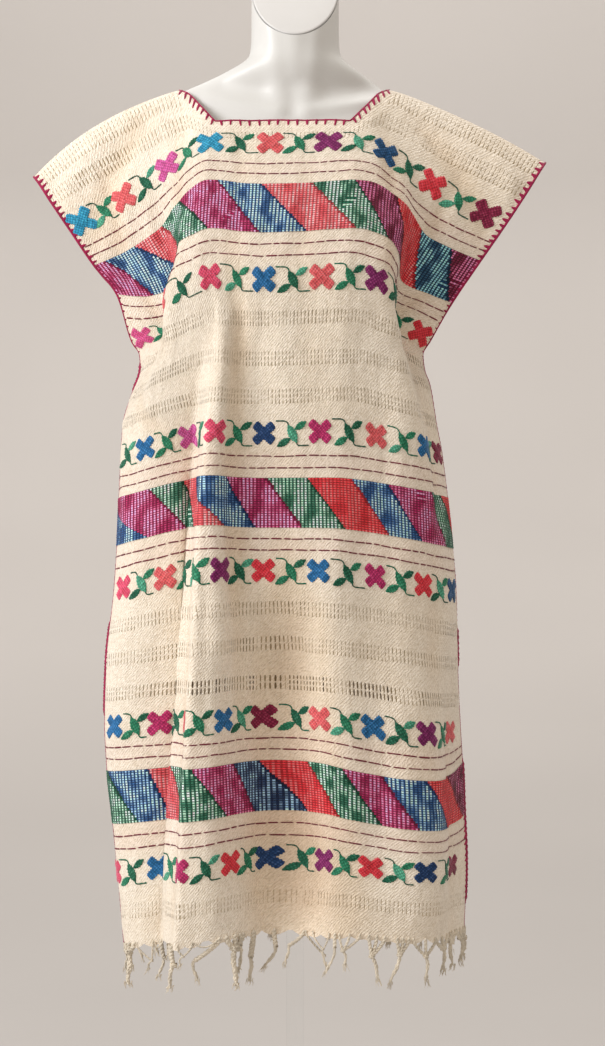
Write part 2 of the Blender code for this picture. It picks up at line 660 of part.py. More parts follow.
CREAM, FUCHSIA, WHITE = (0.78, 0.69, 0.57), (0.42, 0.02, 0.11), (0.85, 0.84, 0.82)
grids = {face: panel_points(face) for face in (FRONT, BACK)}
for face, word in FACE_NAMES.items():
    add_panel(word + "_panel", grids[face], make_material(word + "_cotton", CREAM, 0.9))
    add_fringe("fringe_" + word, face, make_material(word + "_fringe_cotton", CREAM, 0.9))
add_cord("neck_edging", neck_ring(), True, make_material("neck_thread", FUCHSIA, 0.8))
for side, word in SIDE_NAMES.items():
    thread = make_material(word + "_armhole_thread", FUCHSIA, 0.8)
    add_cord("armhole_edging_" + word, armhole_ring(side), True, thread)
    thread = make_material(word + "_seam_thread", FUCHSIA, 0.8)
    add_cord("side_seam_" + word, seam_line(side), False, thread)
add_form(make_material("form_gloss", WHITE, 0.2))
add_cap(make_material("cap_gloss", WHITE, 0.2))
add_stand(make_material("stand_white", WHITE, 0.4), make_material("pole_clear", (1, 1, 1), 0.05, 1.0))
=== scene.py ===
"""Looks of the knee-length gauze huipil on its headless dress form.

Metres, +Z up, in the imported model's frame. The wearer faces -Y, and left and right are as seen
from in front of them. A place on the cloth is (u, v): u across it from its middle line, to the
right, and v down it from the shoulder join. Every table is in thousandths, lengths being in
millimetres, except for a column that is named as plain.
"""

import math
import random

import bmesh
import bpy
import numpy as np
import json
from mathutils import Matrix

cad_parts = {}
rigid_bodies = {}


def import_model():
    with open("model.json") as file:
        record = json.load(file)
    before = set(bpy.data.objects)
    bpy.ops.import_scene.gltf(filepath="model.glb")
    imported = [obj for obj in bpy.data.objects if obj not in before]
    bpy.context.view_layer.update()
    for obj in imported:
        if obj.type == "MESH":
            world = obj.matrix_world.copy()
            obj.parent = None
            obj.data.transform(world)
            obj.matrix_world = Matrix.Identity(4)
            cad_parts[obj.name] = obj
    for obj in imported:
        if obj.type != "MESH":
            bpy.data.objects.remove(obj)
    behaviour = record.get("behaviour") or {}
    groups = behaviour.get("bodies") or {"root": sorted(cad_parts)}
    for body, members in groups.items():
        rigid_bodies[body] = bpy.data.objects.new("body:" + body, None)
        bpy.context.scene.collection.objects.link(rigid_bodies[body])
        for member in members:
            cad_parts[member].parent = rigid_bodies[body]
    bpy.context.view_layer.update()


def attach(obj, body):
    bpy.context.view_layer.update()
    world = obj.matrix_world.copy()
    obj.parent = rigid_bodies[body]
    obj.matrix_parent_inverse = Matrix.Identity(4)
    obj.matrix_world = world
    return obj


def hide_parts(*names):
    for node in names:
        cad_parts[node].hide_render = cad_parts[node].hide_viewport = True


for old in list(bpy.data.objects):
    bpy.data.objects.remove(old, do_unlink=True)
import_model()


FRONT, BACK = -1, 1
LEFT, RIGHT = -1, 1
FACE_NAMES = {FRONT: "front", BACK: "back"}
SIDE_NAMES = {LEFT: "left", RIGHT: "right"}

# The cloth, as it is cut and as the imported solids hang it.
CLOTH_WIDTH = 0.640
CLOTH_LENGTH = 1.062
HALF_WIDTH = CLOTH_WIDTH / 2
ARMHOLE = 0.285
NECK_TOP = 0.121
NECK_BOTTOM = 0.083
NECK_MIDDLE = 0.004
NECK_DEPTH = {FRONT: 0.0487, BACK: 0.026}
# The rows are pushed down under the neck's cut edge, less and less to this depth.
NECK_REACH = 0.16
MIDDLE_U = -0.009
CLOTH_X = -0.009


def mm(word):
    return float(word + "e-3")


def table(text, plain=""):
    """A table's columns by name."""
    names, *lines = [line.split() for line in text.strip().splitlines()]
    return {name: np.array([float(line[i]) if name == plain else mm(line[i]) for line in lines])
            for i, name in enumerate(names)}


# The side edges, down the armhole and then down the side seam. gape is half the armhole's opening.
SIDES = table("""
v left_x left_y left_z right_x right_y right_z gape
0 -320 0 1324 324 0 1341.5 0
12 -313 0 1315 317 0 1331 12.5
40 -298 0 1292 299 0 1302 22.5
84 -273.5 0 1256 272 0 1261 33
144 -241.4 0 1209 240 0 1215 34.5
208 -213 -10 1173 205 0 1163 31
266 -194 -24 1113 178.5 0 1116 15
285 -185 -36 1099 170 0 1101 0
314 -183 -44 1080 172 2 1082 0
362 -196 -36 1044 179 4 1062 0
408 -206 -24 1011.5 187 0 1012.7 0
453 -209 -20 970 194 0 974.5 0
569 -213.6 -24 859 207.4 0 855.2 0
620 -216.7 -34 803.6 211.7 0 801 0
713 -225 -48 716 214 8 709 0
799 -227.3 -44 636.8 218 14 627 0
851 -225 -38 582 220.5 16 586.9 0
914 -218 -36 515 223 14 520 0
970 -212.3 -34 456 225 10 462.1 0
1062 -204.5 -32 364.6 222 6 376.6 0
""")
# Where the cloth's middle hangs, in front and behind.
MIDDLES = table("""
v x front_y front_z back_y back_z
0 -22 0 1437 0 1437
12 -22 -20 1429 30 1432
26 -22 -40 1411 60 1423
48.7 -22 -63 1386.2 72 1401
84 -22 -78 1356.8 86 1368
144 -23 -99 1302.8 101 1310
208 -27 -118 1241.6 111 1248
266 -30 -125 1184.4 116 1191
362 -30 -122 1088.2 120 1095
453 -30 -119 997.3 124 1004
568 -30 -120 882.9 130 889.5
668 -30 -122 782.4 134 789
764 -30 -125 686.8 138 693
851 -28 -128 599.8 141 606
970 -25 -134 480.6 145 487
1062 -25 -140 389.7 148 395
""")
# How a row runs from the middle to a side edge. It rises by lift as far as ramp and then falls,
# curve being how hollow that fall is and sag how much it hangs. A share step of its depth, and a
# share drop of its fall, is taken in one fold, at a share at of the way out, and tuck is how far
# that fold doubles back. wrap, 0 to 1, is how squarely the row turns in to the edge, and dip is a
# hang just before it.
RUNS = {
    LEFT: table("""
v ramp curve sag at step drop tuck wrap lift dip
0 134 400 0 360 500 0 0 0 0 0
48.7 118 100 4 360 500 0 0 0 1 0
84 108 50 9 500 300 0 0 0 5 0
115 105 20 12 530 360 50 1 0 11 0
144 103 0 14 560 420 120 3 0 13.5 0
208 98 0 17 600 700 580 12 0 14 0
238 96 100 15 660 700 600 14 100 13 0
266 96 250 8 720 700 450 16 200 9 0
314 98 200 0 820 450 100 10 500 8.5 0
362 98 100 0 860 200 0 4 800 7.5 0
408 95 50 0 880 100 0 0 900 5.5 0
453 95 0 0 900 0 0 0 1000 5.5 0
508 95 0 0 900 0 0 0 900 7.5 0
569 95 0 0 900 0 0 0 800 8.5 0
668 90 100 0 900 0 0 0 700 0 0
851 50 100 0 900 0 0 0 700 0 0
1062 50 100 0 900 0 0 0 800 0 0
"""),
    RIGHT: table("""
v ramp curve sag at step drop tuck wrap lift dip
0 130 150 0 420 500 0 0 0 0 0
48.7 118 50 4 420 500 0 0 0 1 0
84 106 0 6 550 250 0 0 0 3 0
115 106 0 8 620 300 150 1 0 5 0
144 108 0 6 680 350 300 2 0 6 0
208 101 0 4 710 650 450 12 0 6 0
238 93 100 2 730 700 400 14 100 5 0
266 99 200 0 770 700 350 16 200 4 0
314 94 250 0 840 600 100 13 300 4 0
362 92 200 0 870 550 0 11 400 4 0
408 90 200 0 900 500 0 9 600 4 0
453 80 200 0 910 400 0 7 800 2 0
568 60 200 0 920 100 0 0 1000 0 0
668 50 200 0 920 100 0 0 1000 0 0
764 50 200 4 910 400 0 0 900 0 2
799 50 200 6 910 500 0 2 800 0 4
851 45 200 14 910 600 0 4 700 0 26
914 52 200 12 910 600 0 4 700 0 18
970 65 200 8 900 600 0 4 700 0 3
1062 80 200 4 900 500 0 0 800 0 0
"""),
}
ROUNDNESS = 2.4
STEP_WIDTH = 0.032
TUCK_REACH = 0.16
RAMP_SOFTNESS = 0.10
# Long folds, each from its top to its bottom depth: x at both ends, how far it stands out and its
# width. A lap of 1 or -1 is a pleat, which drops sharply on its left or right side.
FOLDS = {
    FRONT: table("""
top bottom top_x bottom_x out width lap
330 1075 -98 -146 44 42 1
290 700 -78 -78 7 18 0
480 1075 55 60 8 30 0
640 1075 -30 -15 -30 40 0
300 950 105 118 -7 24 0
260 700 -35 -40 -6 22 0
""", plain="lap"),
    BACK: table("""
top bottom top_x bottom_x out width lap
330 1075 100 136 30 40 -1
300 800 70 75 7 20 0
500 1075 -60 -70 9 30 0
640 1075 10 0 -28 40 0
300 950 -120 -130 -7 26 0
""", plain="lap"),
}
LAP_SHARPNESS = 7.0
# The back bulges past its left side seam under the arm.
UNDERARM_BULGE = 0.012
UNDERARM_V = 0.320
UNDERARM_REACH = 0.050
# Rings of the dress form: its half width each side, how far it reaches to the front and the back,
# and how square it is (2 is an ellipse).
FORM_RINGS = table("""
z left right front back square
700 142 142 74 88 2.2
706 150 150 80 95 2.2
820 168 168 88 106 2.2
900 160 160 86 98 2.2
980 132 132 78 80 2.1
1050 118 118 74 72 2.1
1120 122 122 84 76 2.1
1180 128 128 100 84 2.1
1225 135 135 107 90 2.1
1270 142 140 100 92 2.1
1310 158 154 86 90 2
1350 178 170 72 80 1.9
1380 186 174 58 68 1.7
1400 181 164 49 61 1.4
1415 170 143 45 54 1.3
1425 155.7 126.4 44 51 1.25
1433 139.1 111.8 43 50 1.3
1443 114 98.5 44 50 1.5
1458 82 78 49 54 1.9
1470 61 61 50 54 2
1480 55.5 55.5 50 53 2
""", plain="square")
ROW_SAMPLES = 160


class Curve:
    """A smooth curve through a table's column that doesn't overshoot its values."""

    def __init__(self, places, values):
        self.places, self.values = places, values
        rise = np.diff(values) / np.diff(places)
        self.slopes = np.concatenate([rise[:1], np.zeros(len(places) - 2), rise[-1:]])
        for i in range(1, len(places) - 1):
            before, after = rise[i - 1], rise[i]
            if before * after > 0:
                self.slopes[i] = 2 * before * after / (before + after)

    def __call__(self, place):
        place = min(max(place, self.places[0]), self.places[-1])
        i = min(max(int(np.searchsorted(self.places, place)) - 1, 0), len(self.places) - 2)
        span = self.places[i + 1] - self.places[i]
        t = (place - self.places[i]) / span
        start = (1 + 2 * t) * (1 - t) ** 2 * self.values[i] + t * (1 - t) ** 2 * span * self.slopes[i]
        end = t * t * (3 - 2 * t) * self.values[i + 1] - t * t * (1 - t) * span * self.slopes[i + 1]
        return start + end


def curves(columns):
    return {name: Curve(columns["v"], column) for name, column in columns.items() if name != "v"}


SIDE_AT = curves(SIDES)
MIDDLE_AT = curves(MIDDLES)
RUN_AT = {side: curves(columns) for side, columns in RUNS.items()}


def smooth(t):
    t = np.clip(t, 0.0, 1.0)
    return t * t * (3 - 2 * t)


def lengths(path):
    """How far along a path each of its points is."""
    return np.concatenate([[0], np.cumsum(np.linalg.norm(np.diff(path, axis=0), axis=1))])


def fold_relief(face, x, v):
    """How far the long folds push a row out, at each x."""
    relief = np.zeros_like(x)
    for top, bottom, top_x, bottom_x, out, width, lap in zip(*FOLDS[face].values()):
        along = (v - top) / (bottom - top)
        fade = smooth(along / 0.25) * smooth((1.12 - along) / 0.12)
        off = (x - top_x - (bottom_x - top_x) * min(max(along, 0.0), 1.0)) / width
        shape = np.tanh(lap * off * LAP_SHARPNESS) * np.exp(-np.abs(off)) if lap else np.exp(-off * off)
        relief += out * fade * shape
    return relief


def half_row(face, side, v):
    """Close points along one row, from the middle of the cloth out to one side edge."""
    run = {key: curve(v) for key, curve in RUN_AT[side].items()}
    middle_x = MIDDLE_AT["x"](v)
    middle_y, middle_z = (MIDDLE_AT[f"{FACE_NAMES[face]}_{axis}"](v) for axis in "yz")
    edge_x, edge_y, edge_z = (SIDE_AT[f"{SIDE_NAMES[side]}_{axis}"](v) for axis in "xyz")
    edge_y = edge_y + face * SIDE_AT["gape"](v)
    t = 1 - (1 - np.linspace(0, 1, ROW_SAMPLES)) ** (1 + run["wrap"])
    near = np.clip((t - run["at"]) / TUCK_REACH, -1, 1)
    aside = -run["tuck"] * np.sin(math.pi * near) * (1 - near * near) * (1 - t**12)
    if (face, side) == (BACK, LEFT):
        under_arm = math.exp(-(((v - UNDERARM_V) / UNDERARM_REACH) ** 2))
        aside = aside + UNDERARM_BULGE * under_arm * t**8 * (1 - t) * 23
    plain = middle_x + (edge_x - middle_x) * t
    x = plain + side * aside
    low = 1 / (1 + math.exp(run["at"] / STEP_WIDTH))
    high = 1 / (1 + math.exp((run["at"] - 1) / STEP_WIDTH))
    step = (1 / (1 + np.exp((run["at"] - t) / STEP_WIDTH)) - low) / (high - low)
    gentle = 1 - (1 - t**ROUNDNESS) ** (1 / (1 + run["wrap"] * (ROUNDNESS - 1)))
    depth = run["step"] * step + (1 - run["step"]) * gentle
    y = middle_y + (edge_y - middle_y) * depth + face * fold_relief(face, x, v) * (1 - t**6)
    reach = (side * plain - run["ramp"]) / (side * edge_x - run["ramp"])
    soft = (reach + np.sqrt(reach * reach + RAMP_SOFTNESS**2)) / (1 + math.hypot(1, RAMP_SOFTNESS))
    fall = (1 - run["drop"]) * (soft + run["curve"] * (soft**3 - soft)) + run["drop"] * step
    top_z = middle_z + run["lift"] * smooth(t * abs(edge_x - middle_x) / (run["ramp"] + abs(middle_x)))
    hang = run["sag"] * np.sin(math.pi * np.clip(soft, 0, 1)) + run["dip"] * t**6 * (1 - t**12)
    return np.stack([x, y, top_z + (edge_z - top_z) * fall - hang], axis=1)


def row_points(face, v, places):
    """Points of one row at these places across the cloth, its length shared out evenly."""
    points = np.zeros((len(places), 3))
    for side in (LEFT, RIGHT):
        close = half_row(face, side, v)
        length = lengths(close)
        mine = (places - MIDDLE_U) * side >= 0
        share = np.abs(places[mine] - MIDDLE_U) / (HALF_WIDTH - MIDDLE_U * side)
        for axis in range(3):
            points[mine, axis] = np.interp(share * length[-1], length, close[:, axis])
    return points + np.array([CLOTH_X, 0.0, 0.0])


# Creases laid over the folds: a soft trough (minus) or ridge from one place on the cloth to
# another, bowed to the side by bow.
CREASES = {
    FRONT: table("""
u1 v1 u2 v2 bow depth width
-150 10 -310 120 10 -5 14
-190 0 -318 60 6 4 12
-240 30 -300 190 -10 -4 12
-120 30 -160 260 12 -4 16
-200 90 -240 280 10 3.5 13
-300 150 -200 330 10 -4 12
-90 70 -110 300 6 2.5 15
-50 60 -60 330 -4 -2 14
40 60 60 420 4 -1.6 16
150 20 310 110 -10 -5 14
200 0 318 50 -6 4 12
130 50 170 270 -12 -4 16
240 60 260 240 10 -3.5 13
300 150 210 330 -10 -4 12
95 70 100 360 -4 2.2 14
-270 360 -150 480 10 -3 12
-290 420 -230 640 10 2.4 13
-182 470 -208 1062 0 8 24
-150 560 -166 1062 0 -4 22
-115 420 -105 900 0 1.8 15
-50 560 -46 820 0 -3 16
10 400 20 900 -4 -1.6 18
170 400 165 780 6 -2.2 14
210 380 250 620 -8 2.6 13
280 420 220 760 10 -3 13
157 440 150 980 0 5.5 28
-82 270 -84 620 0 3.5 14
-46 270 -54 640 2 -6 19
-79 540 -90 1062 2 7.5 22
30 600 34 1062 0 -11 50
26 850 28 1062 0 -8 32
90 850 94 1062 0 -6 36
105 780 114 1062 4 3 20
-106 840 -112 1062 0 5 24
260 760 270 1062 6 -2.6 14
-290 820 -280 1062 6 2 14
"""),
    BACK: table("""
u1 v1 u2 v2 bow depth width
-150 10 -310 130 10 -5 14
-200 0 -318 50 6 4 12
-130 40 -160 270 12 -4 16
-230 70 -250 260 10 3 13
-300 160 -200 330 10 -4 12
-80 60 -100 330 6 2.4 15
150 10 310 120 -10 -5 14
190 0 318 60 -6 4 12
120 50 170 270 -12 -4 16
240 60 260 240 10 -3.5 13
300 150 210 330 -10 -4 12
60 60 70 400 4 2 15
-10 80 10 420 6 -1.8 16
-280 360 -170 480 10 -3 12
-250 480 -260 800 12 2.4 14
-150 420 -140 760 -6 -2.2 13
-80 480 -90 1062 6 2.2 14
20 420 10 880 -4 -1.8 16
110 400 120 800 6 2.2 13
210 380 240 640 -8 -2.6 13
280 420 230 780 10 3 13
180 660 170 1062 6 -2.4 14
-190 740 -200 1062 4 -2.2 12
260 780 270 1062 6 2.4 14
-20 800 -30 1062 6 -2 13
"""),
}
# Small puckers: wave length and height.
PUCKERS = ((0.041, 0.00034), (0.027, 0.00018), (0.017, 0.00008))
PUCKER_SEEDS = {FRONT: 11, BACK: 29}
GRID_STEP = 0.002


def pucker_relief(face, u, v):
    relief = np.zeros(np.broadcast(u, v).shape)
    draw = random.Random(PUCKER_SEEDS[face])
    for length, height in PUCKERS:
        for _ in range(5):
            turn = draw.uniform(0, math.pi)
            shift, bend = draw.uniform(0, 2 * math.pi), draw.uniform(0.6, 1.4)
            along = u * math.cos(turn) + v * math.sin(turn)
            aside = v * math.cos(turn) - u * math.sin(turn)
            wave = np.sin(2 * math.pi * along / (length * bend) + shift + 1.2 * np.sin(aside / length))
            relief += height * 0.6 * wave
    return relief


def crease_relief(face, u, v):
    """How far creases and puckers push the cloth out of its folds."""
    relief = pucker_relief(face, u, v)
    for u1, v1, u2, v2, bow, depth, width in zip(*CREASES[face].values()):
        du, dv = u2 - u1, v2 - v1
        length = math.hypot(du, dv)
        share = ((u - u1) * du + (v - v1) * dv) / length / length
        aside = ((v - v1) * du - (u - u1) * dv) / length - bow * 4 * share * (1 - share)
        fade = smooth(share / 0.35 + 0.25) * smooth((1.15 - share) / 0.35)
        off = aside / (width * (0.75 + 0.5 * np.clip(share, 0, 1)))
        relief += depth * fade * np.exp(-off * off)
    return relief * smooth((HALF_WIDTH - np.abs(u)) / 0.02) * smooth(v / 0.03)


class Cloth:
    """One face of the garment as close points and normals, read at any place on the cloth."""

    def __init__(self, face):
        self.u = np.linspace(-HALF_WIDTH, HALF_WIDTH, round(CLOTH_WIDTH / GRID_STEP) + 1)
        self.v = np.linspace(0, CLOTH_LENGTH, round(CLOTH_LENGTH / GRID_STEP) + 1)
        self.face = face
        self.points = np.array([row_points(face, v, self.u) for v in self.v])
        relief = crease_relief(face, self.u[None, :], self.v[:, None])
        self.points = self.points + self.find_normals() * relief[:, :, None]
        self.normals = self.find_normals()

    def find_normals(self):
        across, down = np.gradient(self.points, axis=1), np.gradient(self.points, axis=0)
        normals = np.cross(down, across) * -self.face
        return normals / np.maximum(np.linalg.norm(normals, axis=2, keepdims=True), 1e-12)

    def read(self, values, u, v):
        i = np.clip(v / CLOTH_LENGTH * (len(self.v) - 1), 0, len(self.v) - 1.0001)
        j = np.clip((u / CLOTH_WIDTH + 0.5) * (len(self.u) - 1), 0, len(self.u) - 1.0001)
        i0, j0 = i.astype(int), j.astype(int)
        a, b = (i - i0)[..., None], (j - j0)[..., None]
        near = values[i0, j0] * (1 - b) + values[i0, j0 + 1] * b
        far = values[i0 + 1, j0] * (1 - b) + values[i0 + 1, j0 + 1] * b
        return near * (1 - a) + far * a

    def at(self, u, v, off=0.0):
        """Points at these places, off metres out from the cloth."""
        u, v = np.asarray(u, float), np.asarray(v, float)
        off = np.broadcast_to(np.asarray(off, float), np.broadcast(u, v).shape)[..., None]
        return self.read(self.points, u, v) + self.read(self.normals, u, v) * off


CLOTHS = {face: Cloth(face) for face in (FRONT, BACK)}


# Materials


def linear(*rgb):
    """An sRGB colour, 0 to 255, as linear numbers."""
    shares = [c / 255 for c in rgb]
    return tuple(c / 12.92 if c <= 0.04045 else ((c + 0.055) / 1.055) ** 2.4 for c in shares)


def colours(text):
    """Linear colours by name, from names and sRGB numbers."""
    return {name: linear(*map(int, rgb)) for name, *rgb in (row.split() for row in text.split(","))}


class Nodes:
    """A material's node tree, built by short calls."""

    def __init__(self, name, roughness, **sockets):
        self.material = bpy.data.materials.new(name)
        self.material.use_nodes = True
        self.tree = self.material.node_tree
        self.shader = self.tree.nodes["Principled BSDF"]
        for key, value in (("Roughness", roughness), *sockets.items()):
            self.shader.inputs[key.replace("_", " ")].default_value = value

    def plug(self, value, socket):
        """Joins another node's socket, or sets a number, a vector or a colour."""
        if isinstance(value, bpy.types.NodeSocket):
            self.tree.links.new(value, socket)
        elif hasattr(value, "__len__"):
            socket.default_value = (*value, 1.0)[:len(socket.default_value)]
        else:
            socket.default_value = value

    def add(self, kind, **values):
        node = self.tree.nodes.new("ShaderNode" + kind)
        for key, value in values.items():
            if hasattr(node, key):
                setattr(node, key, value)
            else:
                self.plug(value, node.inputs[key.replace("_", " ")])
        return node

    def place(self, scale):
        """Object coordinates in metres, times scale."""
        scale = scale if hasattr(scale, "__len__") else (scale,) * 3
        return self.add("Mapping", Vector=self.add("TexCoord").outputs["Object"], Scale=scale).outputs["Vector"]

    def cloth_place(self, across, down, turn=0.0):
        """The cloth's own metres, with so many steps to the metre along two axes turned by turn."""
        return self.add("Mapping", vector_type="TEXTURE", Vector=self.add("TexCoord").outputs["UV"],
                        Scale=(1 / across, 1 / down, 1), Rotation=(0, 0, turn)).outputs["Vector"]

    def noise(self, place, detail=3.0, distortion=0.0):
        node = self.add("TexNoise", Vector=place, Scale=1.0, Detail=detail, Distortion=distortion)
        return node.outputs["Fac"]

    def ramp(self, value, *stops):
        node = self.add("ValToRGB", Fac=value)
        for point, (at, colour) in zip(node.color_ramp.elements, stops):
            point.position = at
            point.color = (*colour, 1.0) if hasattr(colour, "__len__") else (colour, colour, colour, 1.0)
        return node.outputs["Color"]

    def tint(self, share, colour, by):
        """The colour multiplied by another one, in this share."""
        node = self.add("Mix", data_type="RGBA", blend_type="MULTIPLY", Factor=share)
        self.plug(colour, node.inputs[6])
        self.plug(by, node.inputs[7])
        return node.outputs[2]

    def maths(self, kind, a, b):
        node = self.add("Math", operation=kind)
        for value, socket in zip((a, b), node.inputs):
            self.plug(value, socket)
        return node.outputs[0]

    def finish(self, colour, roughness, height, distance, strength):
        bump = self.add("Bump", Distance=distance, Strength=strength, Height=height).outputs["Normal"]
        for value, key in ((colour, "Base Color"), (roughness, "Roughness"), (bump, "Normal")):
            self.plug(value, self.shader.inputs[key])
        return self.material


def cotton_material(name, cream):
    """Handwoven cotton gauze: uneven threads both ways, slubs and a mottled natural colour."""
    n = Nodes(name, 0.9, Sheen_Weight=0.25, Sheen_Roughness=0.5, Specular_IOR_Level=0.2)
    wide = n.noise(n.cloth_place(9, 9), detail=4)
    wefts = n.noise(n.cloth_place(70, 480), detail=2, distortion=0.3)
    warps = n.noise(n.cloth_place(440, 60), detail=2, distortion=0.3)
    crepe = n.noise(n.cloth_place(230, 560, turn=-0.8), detail=2, distortion=0.6)
    twill = n.add("TexWave", Vector=n.cloth_place(104, 104, turn=0.77), Scale=1.0, Distortion=4.5, Detail=2.0,
                  Detail_Scale=2.0).outputs["Fac"]
    grain = n.noise(n.cloth_place(700, 700), detail=2)
    thread = n.maths("MULTIPLY", n.maths("ADD", wefts, warps), 0.5)
    tone = n.ramp(wide, (0.3, tuple(c * k for c, k in zip(cream, (0.96, 0.93, 0.89)))), (0.7, cream))
    # the points' Shade colour: painted shade in crease troughs and behind the gauze gaps, and dye bled beside
    # the brocade
    tone = n.tint(1.0, tone, n.add("Attribute", attribute_name="Shade").outputs["Color"])
    tone = n.tint(0.8, tone, n.ramp(thread, (0.36, (0.88, 0.86, 0.83)), (0.58, 1.0)))
    tone = n.tint(0.9, tone, n.ramp(crepe, (0.38, (0.84, 0.81, 0.76)), (0.58, 1.0)))
    tone = n.tint(0.5, tone, n.ramp(twill, (0.1, (0.86, 0.82, 0.76)), (0.6, 1.0)))
    tone = n.tint(1.0, tone, (1.07, 1.06, 1.05))
    height = n.maths("ADD", n.maths("MULTIPLY", thread, 0.5), crepe)
    height = n.maths("ADD", height, n.maths("MULTIPLY", twill, 0.32))
    height = n.maths("ADD", height, n.maths("MULTIPLY", grain, 0.25))
    return n.finish(tone, n.ramp(crepe, (0.2, 0.82), (0.8, 0.96)), height, 0.0014, 0.85)


def thread_material(name, own=None, sheen=0.3):
    """Dyed thread: the colour of the mesh's own points, which carries painted shade and highlights, or one
    given, with fibres and wear.
    """
    n = Nodes(name, 0.75, Sheen_Weight=sheen, Sheen_Roughness=0.4, Specular_IOR_Level=0.3)
    fibres = n.noise(n.place(2400), distortion=0.5)
    patches = n.noise(n.place(60))
    if own is None:
        # the points' own colour: dye, with painted shade and highlights on the brocade's raised stitches
        colour = n.add("Attribute", attribute_name="Dye").outputs["Color"]
    else:
        colour = n.ramp(patches, (0.3, tuple(c * 0.75 for c in own)), (0.7, own))
    colour = n.tint(0.5, colour, n.ramp(patches, (0.3, 0.86), (0.65, 1.0)))
    colour = n.tint(0.5, colour, n.ramp(fibres, (0.30, 0.76), (0.62, 1.0)))
    return n.finish(colour, n.ramp(fibres, (0.2, 0.62), (0.8, 0.88)), fibres, 0.0004, 0.6)


def gloss_material(name, colour, low, high, coat):
    """Sprayed gloss on a moulded form: a faint orange-peel and a few rubbed places."""
    n = Nodes(name, low, Coat_Weight=coat, Coat_Roughness=0.08, IOR=1.5)
    peel = n.noise(n.place(220), detail=2)
    rubbed = n.noise(n.place(14), detail=5, distortion=0.4)
    tone = n.ramp(rubbed, (0.35, tuple(c * 0.96 for c in colour)), (0.7, colour))
    return n.finish(tone, n.ramp(rubbed, (0.35, low), (0.75, high)), peel, 0.0002, 0.25)


def acrylic_material(name):
    n = Nodes(name, 0.03, Transmission_Weight=1.0, IOR=1.06)
    marks = n.noise(n.place((260, 260, 26)), detail=5)
    tone = n.ramp(marks, (0.3, (0.97, 0.98, 0.98)), (0.7, 1.0))
    return n.finish(tone, n.ramp(marks, (0.45, 0.02), (0.8, 0.06)), marks, 0.0001, 0.05)


CREAM = linear(252, 244, 232)
FUCHSIA = linear(172, 24, 80)
BURGUNDY = linear(128, 44, 58)
COTTON = {face: cotton_material(word + "_gauze_cotton", CREAM) for face, word in FACE_NAMES.items()}
BROCADE = thread_material("brocade_thread")
EDGE_THREAD = thread_material("edge_thread", FUCHSIA)
DASH_THREAD = thread_material("running_thread", BURGUNDY)
FRINGE_YARN = thread_material("fringe_yarn", linear(240, 228, 208), sheen=0.2)


# Meshes


def add_piece(name, points, faces, material, slot=None, node=None, dye=None, uv=None, layer="Dye", weld=False):
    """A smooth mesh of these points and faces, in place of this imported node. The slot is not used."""
    mesh = bpy.data.meshes.new(name)
    mesh.from_pydata(np.asarray(points).tolist(), [], np.asarray(faces).tolist())
    mesh.polygons.foreach_set("use_smooth", [True] * len(mesh.polygons))
    if dye is not None:
        dye = np.concatenate([dye, np.ones((len(dye), 1))], axis=1).astype(np.float32)
        mesh.color_attributes.new(layer, "FLOAT_COLOR", "POINT").data.foreach_set("color", dye.ravel())
    if uv is not None:
        corners = np.zeros(len(mesh.loops), np.int32)
        mesh.loops.foreach_get("vertex_index", corners)
        uv = np.asarray(uv, np.float32)[corners].ravel()
        mesh.uv_layers.new(name="Cloth").data.foreach_set("uv", uv)
    if weld:
        shell = bmesh.new()
        shell.from_mesh(mesh)
        bmesh.ops.remove_doubles(shell, verts=shell.verts, dist=1e-6)
        shell.to_mesh(mesh)
        shell.free()
    mesh.update()
    mesh.materials.append(material)
    obj = bpy.data.objects.new(name, mesh)
    bpy.context.scene.collection.objects.link(obj)
    if node:
        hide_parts(node)
    return obj


# Picks a face's corners in the other sense, from the same first one.
TURNED = [0, 3, 2, 1]


def grid_faces(rows, columns):
    """The faces of a grid of points, which are numbered row after row."""
    corner = np.arange(rows - 1)[:, None] * columns + np.arange(columns - 1)
    return np.stack([corner, corner + 1, corner + columns + 1, corner + columns], axis=-1)


def hoop_faces(hoops, sides, closed=False):
    """The faces between hoops of points, the last hoop joining the first one if closed."""
    near = np.arange(hoops if closed else hoops - 1)[:, None] * sides + np.arange(sides)
    far = (near + sides) % (hoops * sides)
    return np.stack([near, np.roll(near, -1, axis=1), np.roll(far, -1, axis=1), far], axis=-1).reshape(-1, 4)


def frames_along(path, closed=False):
    """Two directions square to a path and to each other, at each of its points."""
    along = np.roll(path, -1, axis=0) - np.roll(path, 1, axis=0) if closed else np.gradient(path, axis=0)
    along /= np.linalg.norm(along, axis=1, keepdims=True) + 1e-12
    normal = np.cross(along[0], (0.3, 0.5, 0.81))
    frames = []
    for way in along:
        normal = normal - way * np.dot(normal, way)
        normal = normal / (np.linalg.norm(normal) + 1e-12)
        frames.append((normal, np.cross(way, normal)))
    return np.array(frames)


def tube(path, radius, sides, closed=False):
    """Points and faces of a round tube along a path. radius is one number or one for each point."""
    frames = frames_along(path, closed)
    turn = 2 * math.pi * np.arange(sides) / sides
    ring = frames[:, :1] * np.cos(turn)[None, :, None] + frames[:, 1:] * np.sin(turn)[None, :, None]
    points = path[:, None] + ring * np.broadcast_to(radius, (len(path),))[:, None, None]
    return points, hoop_faces(len(path), sides, closed)


def resample(path, step, rounds=2):
    """The path's points, evenly spaced about step apart, with its corners cut off this many times."""
    path = np.asarray(path, float)
    for _ in range(rounds):
        middle = path[:-1] * 0.75 + path[1:] * 0.25, path[:-1] * 0.25 + path[1:] * 0.75
        path = np.concatenate([path[:1], np.stack(middle, axis=1).reshape(-1, path.shape[1]), path[-1:]])
    length = lengths(path)
    wanted = np.linspace(0, length[-1], max(int(length[-1] / step) + 1, 3))
    return np.stack([np.interp(wanted, length, column) for column in path.T], axis=1)


def wound(face, faces):
    """The faces, turned to look outwards from this face of the garment."""
    return faces[..., ::-1] if face == BACK else faces


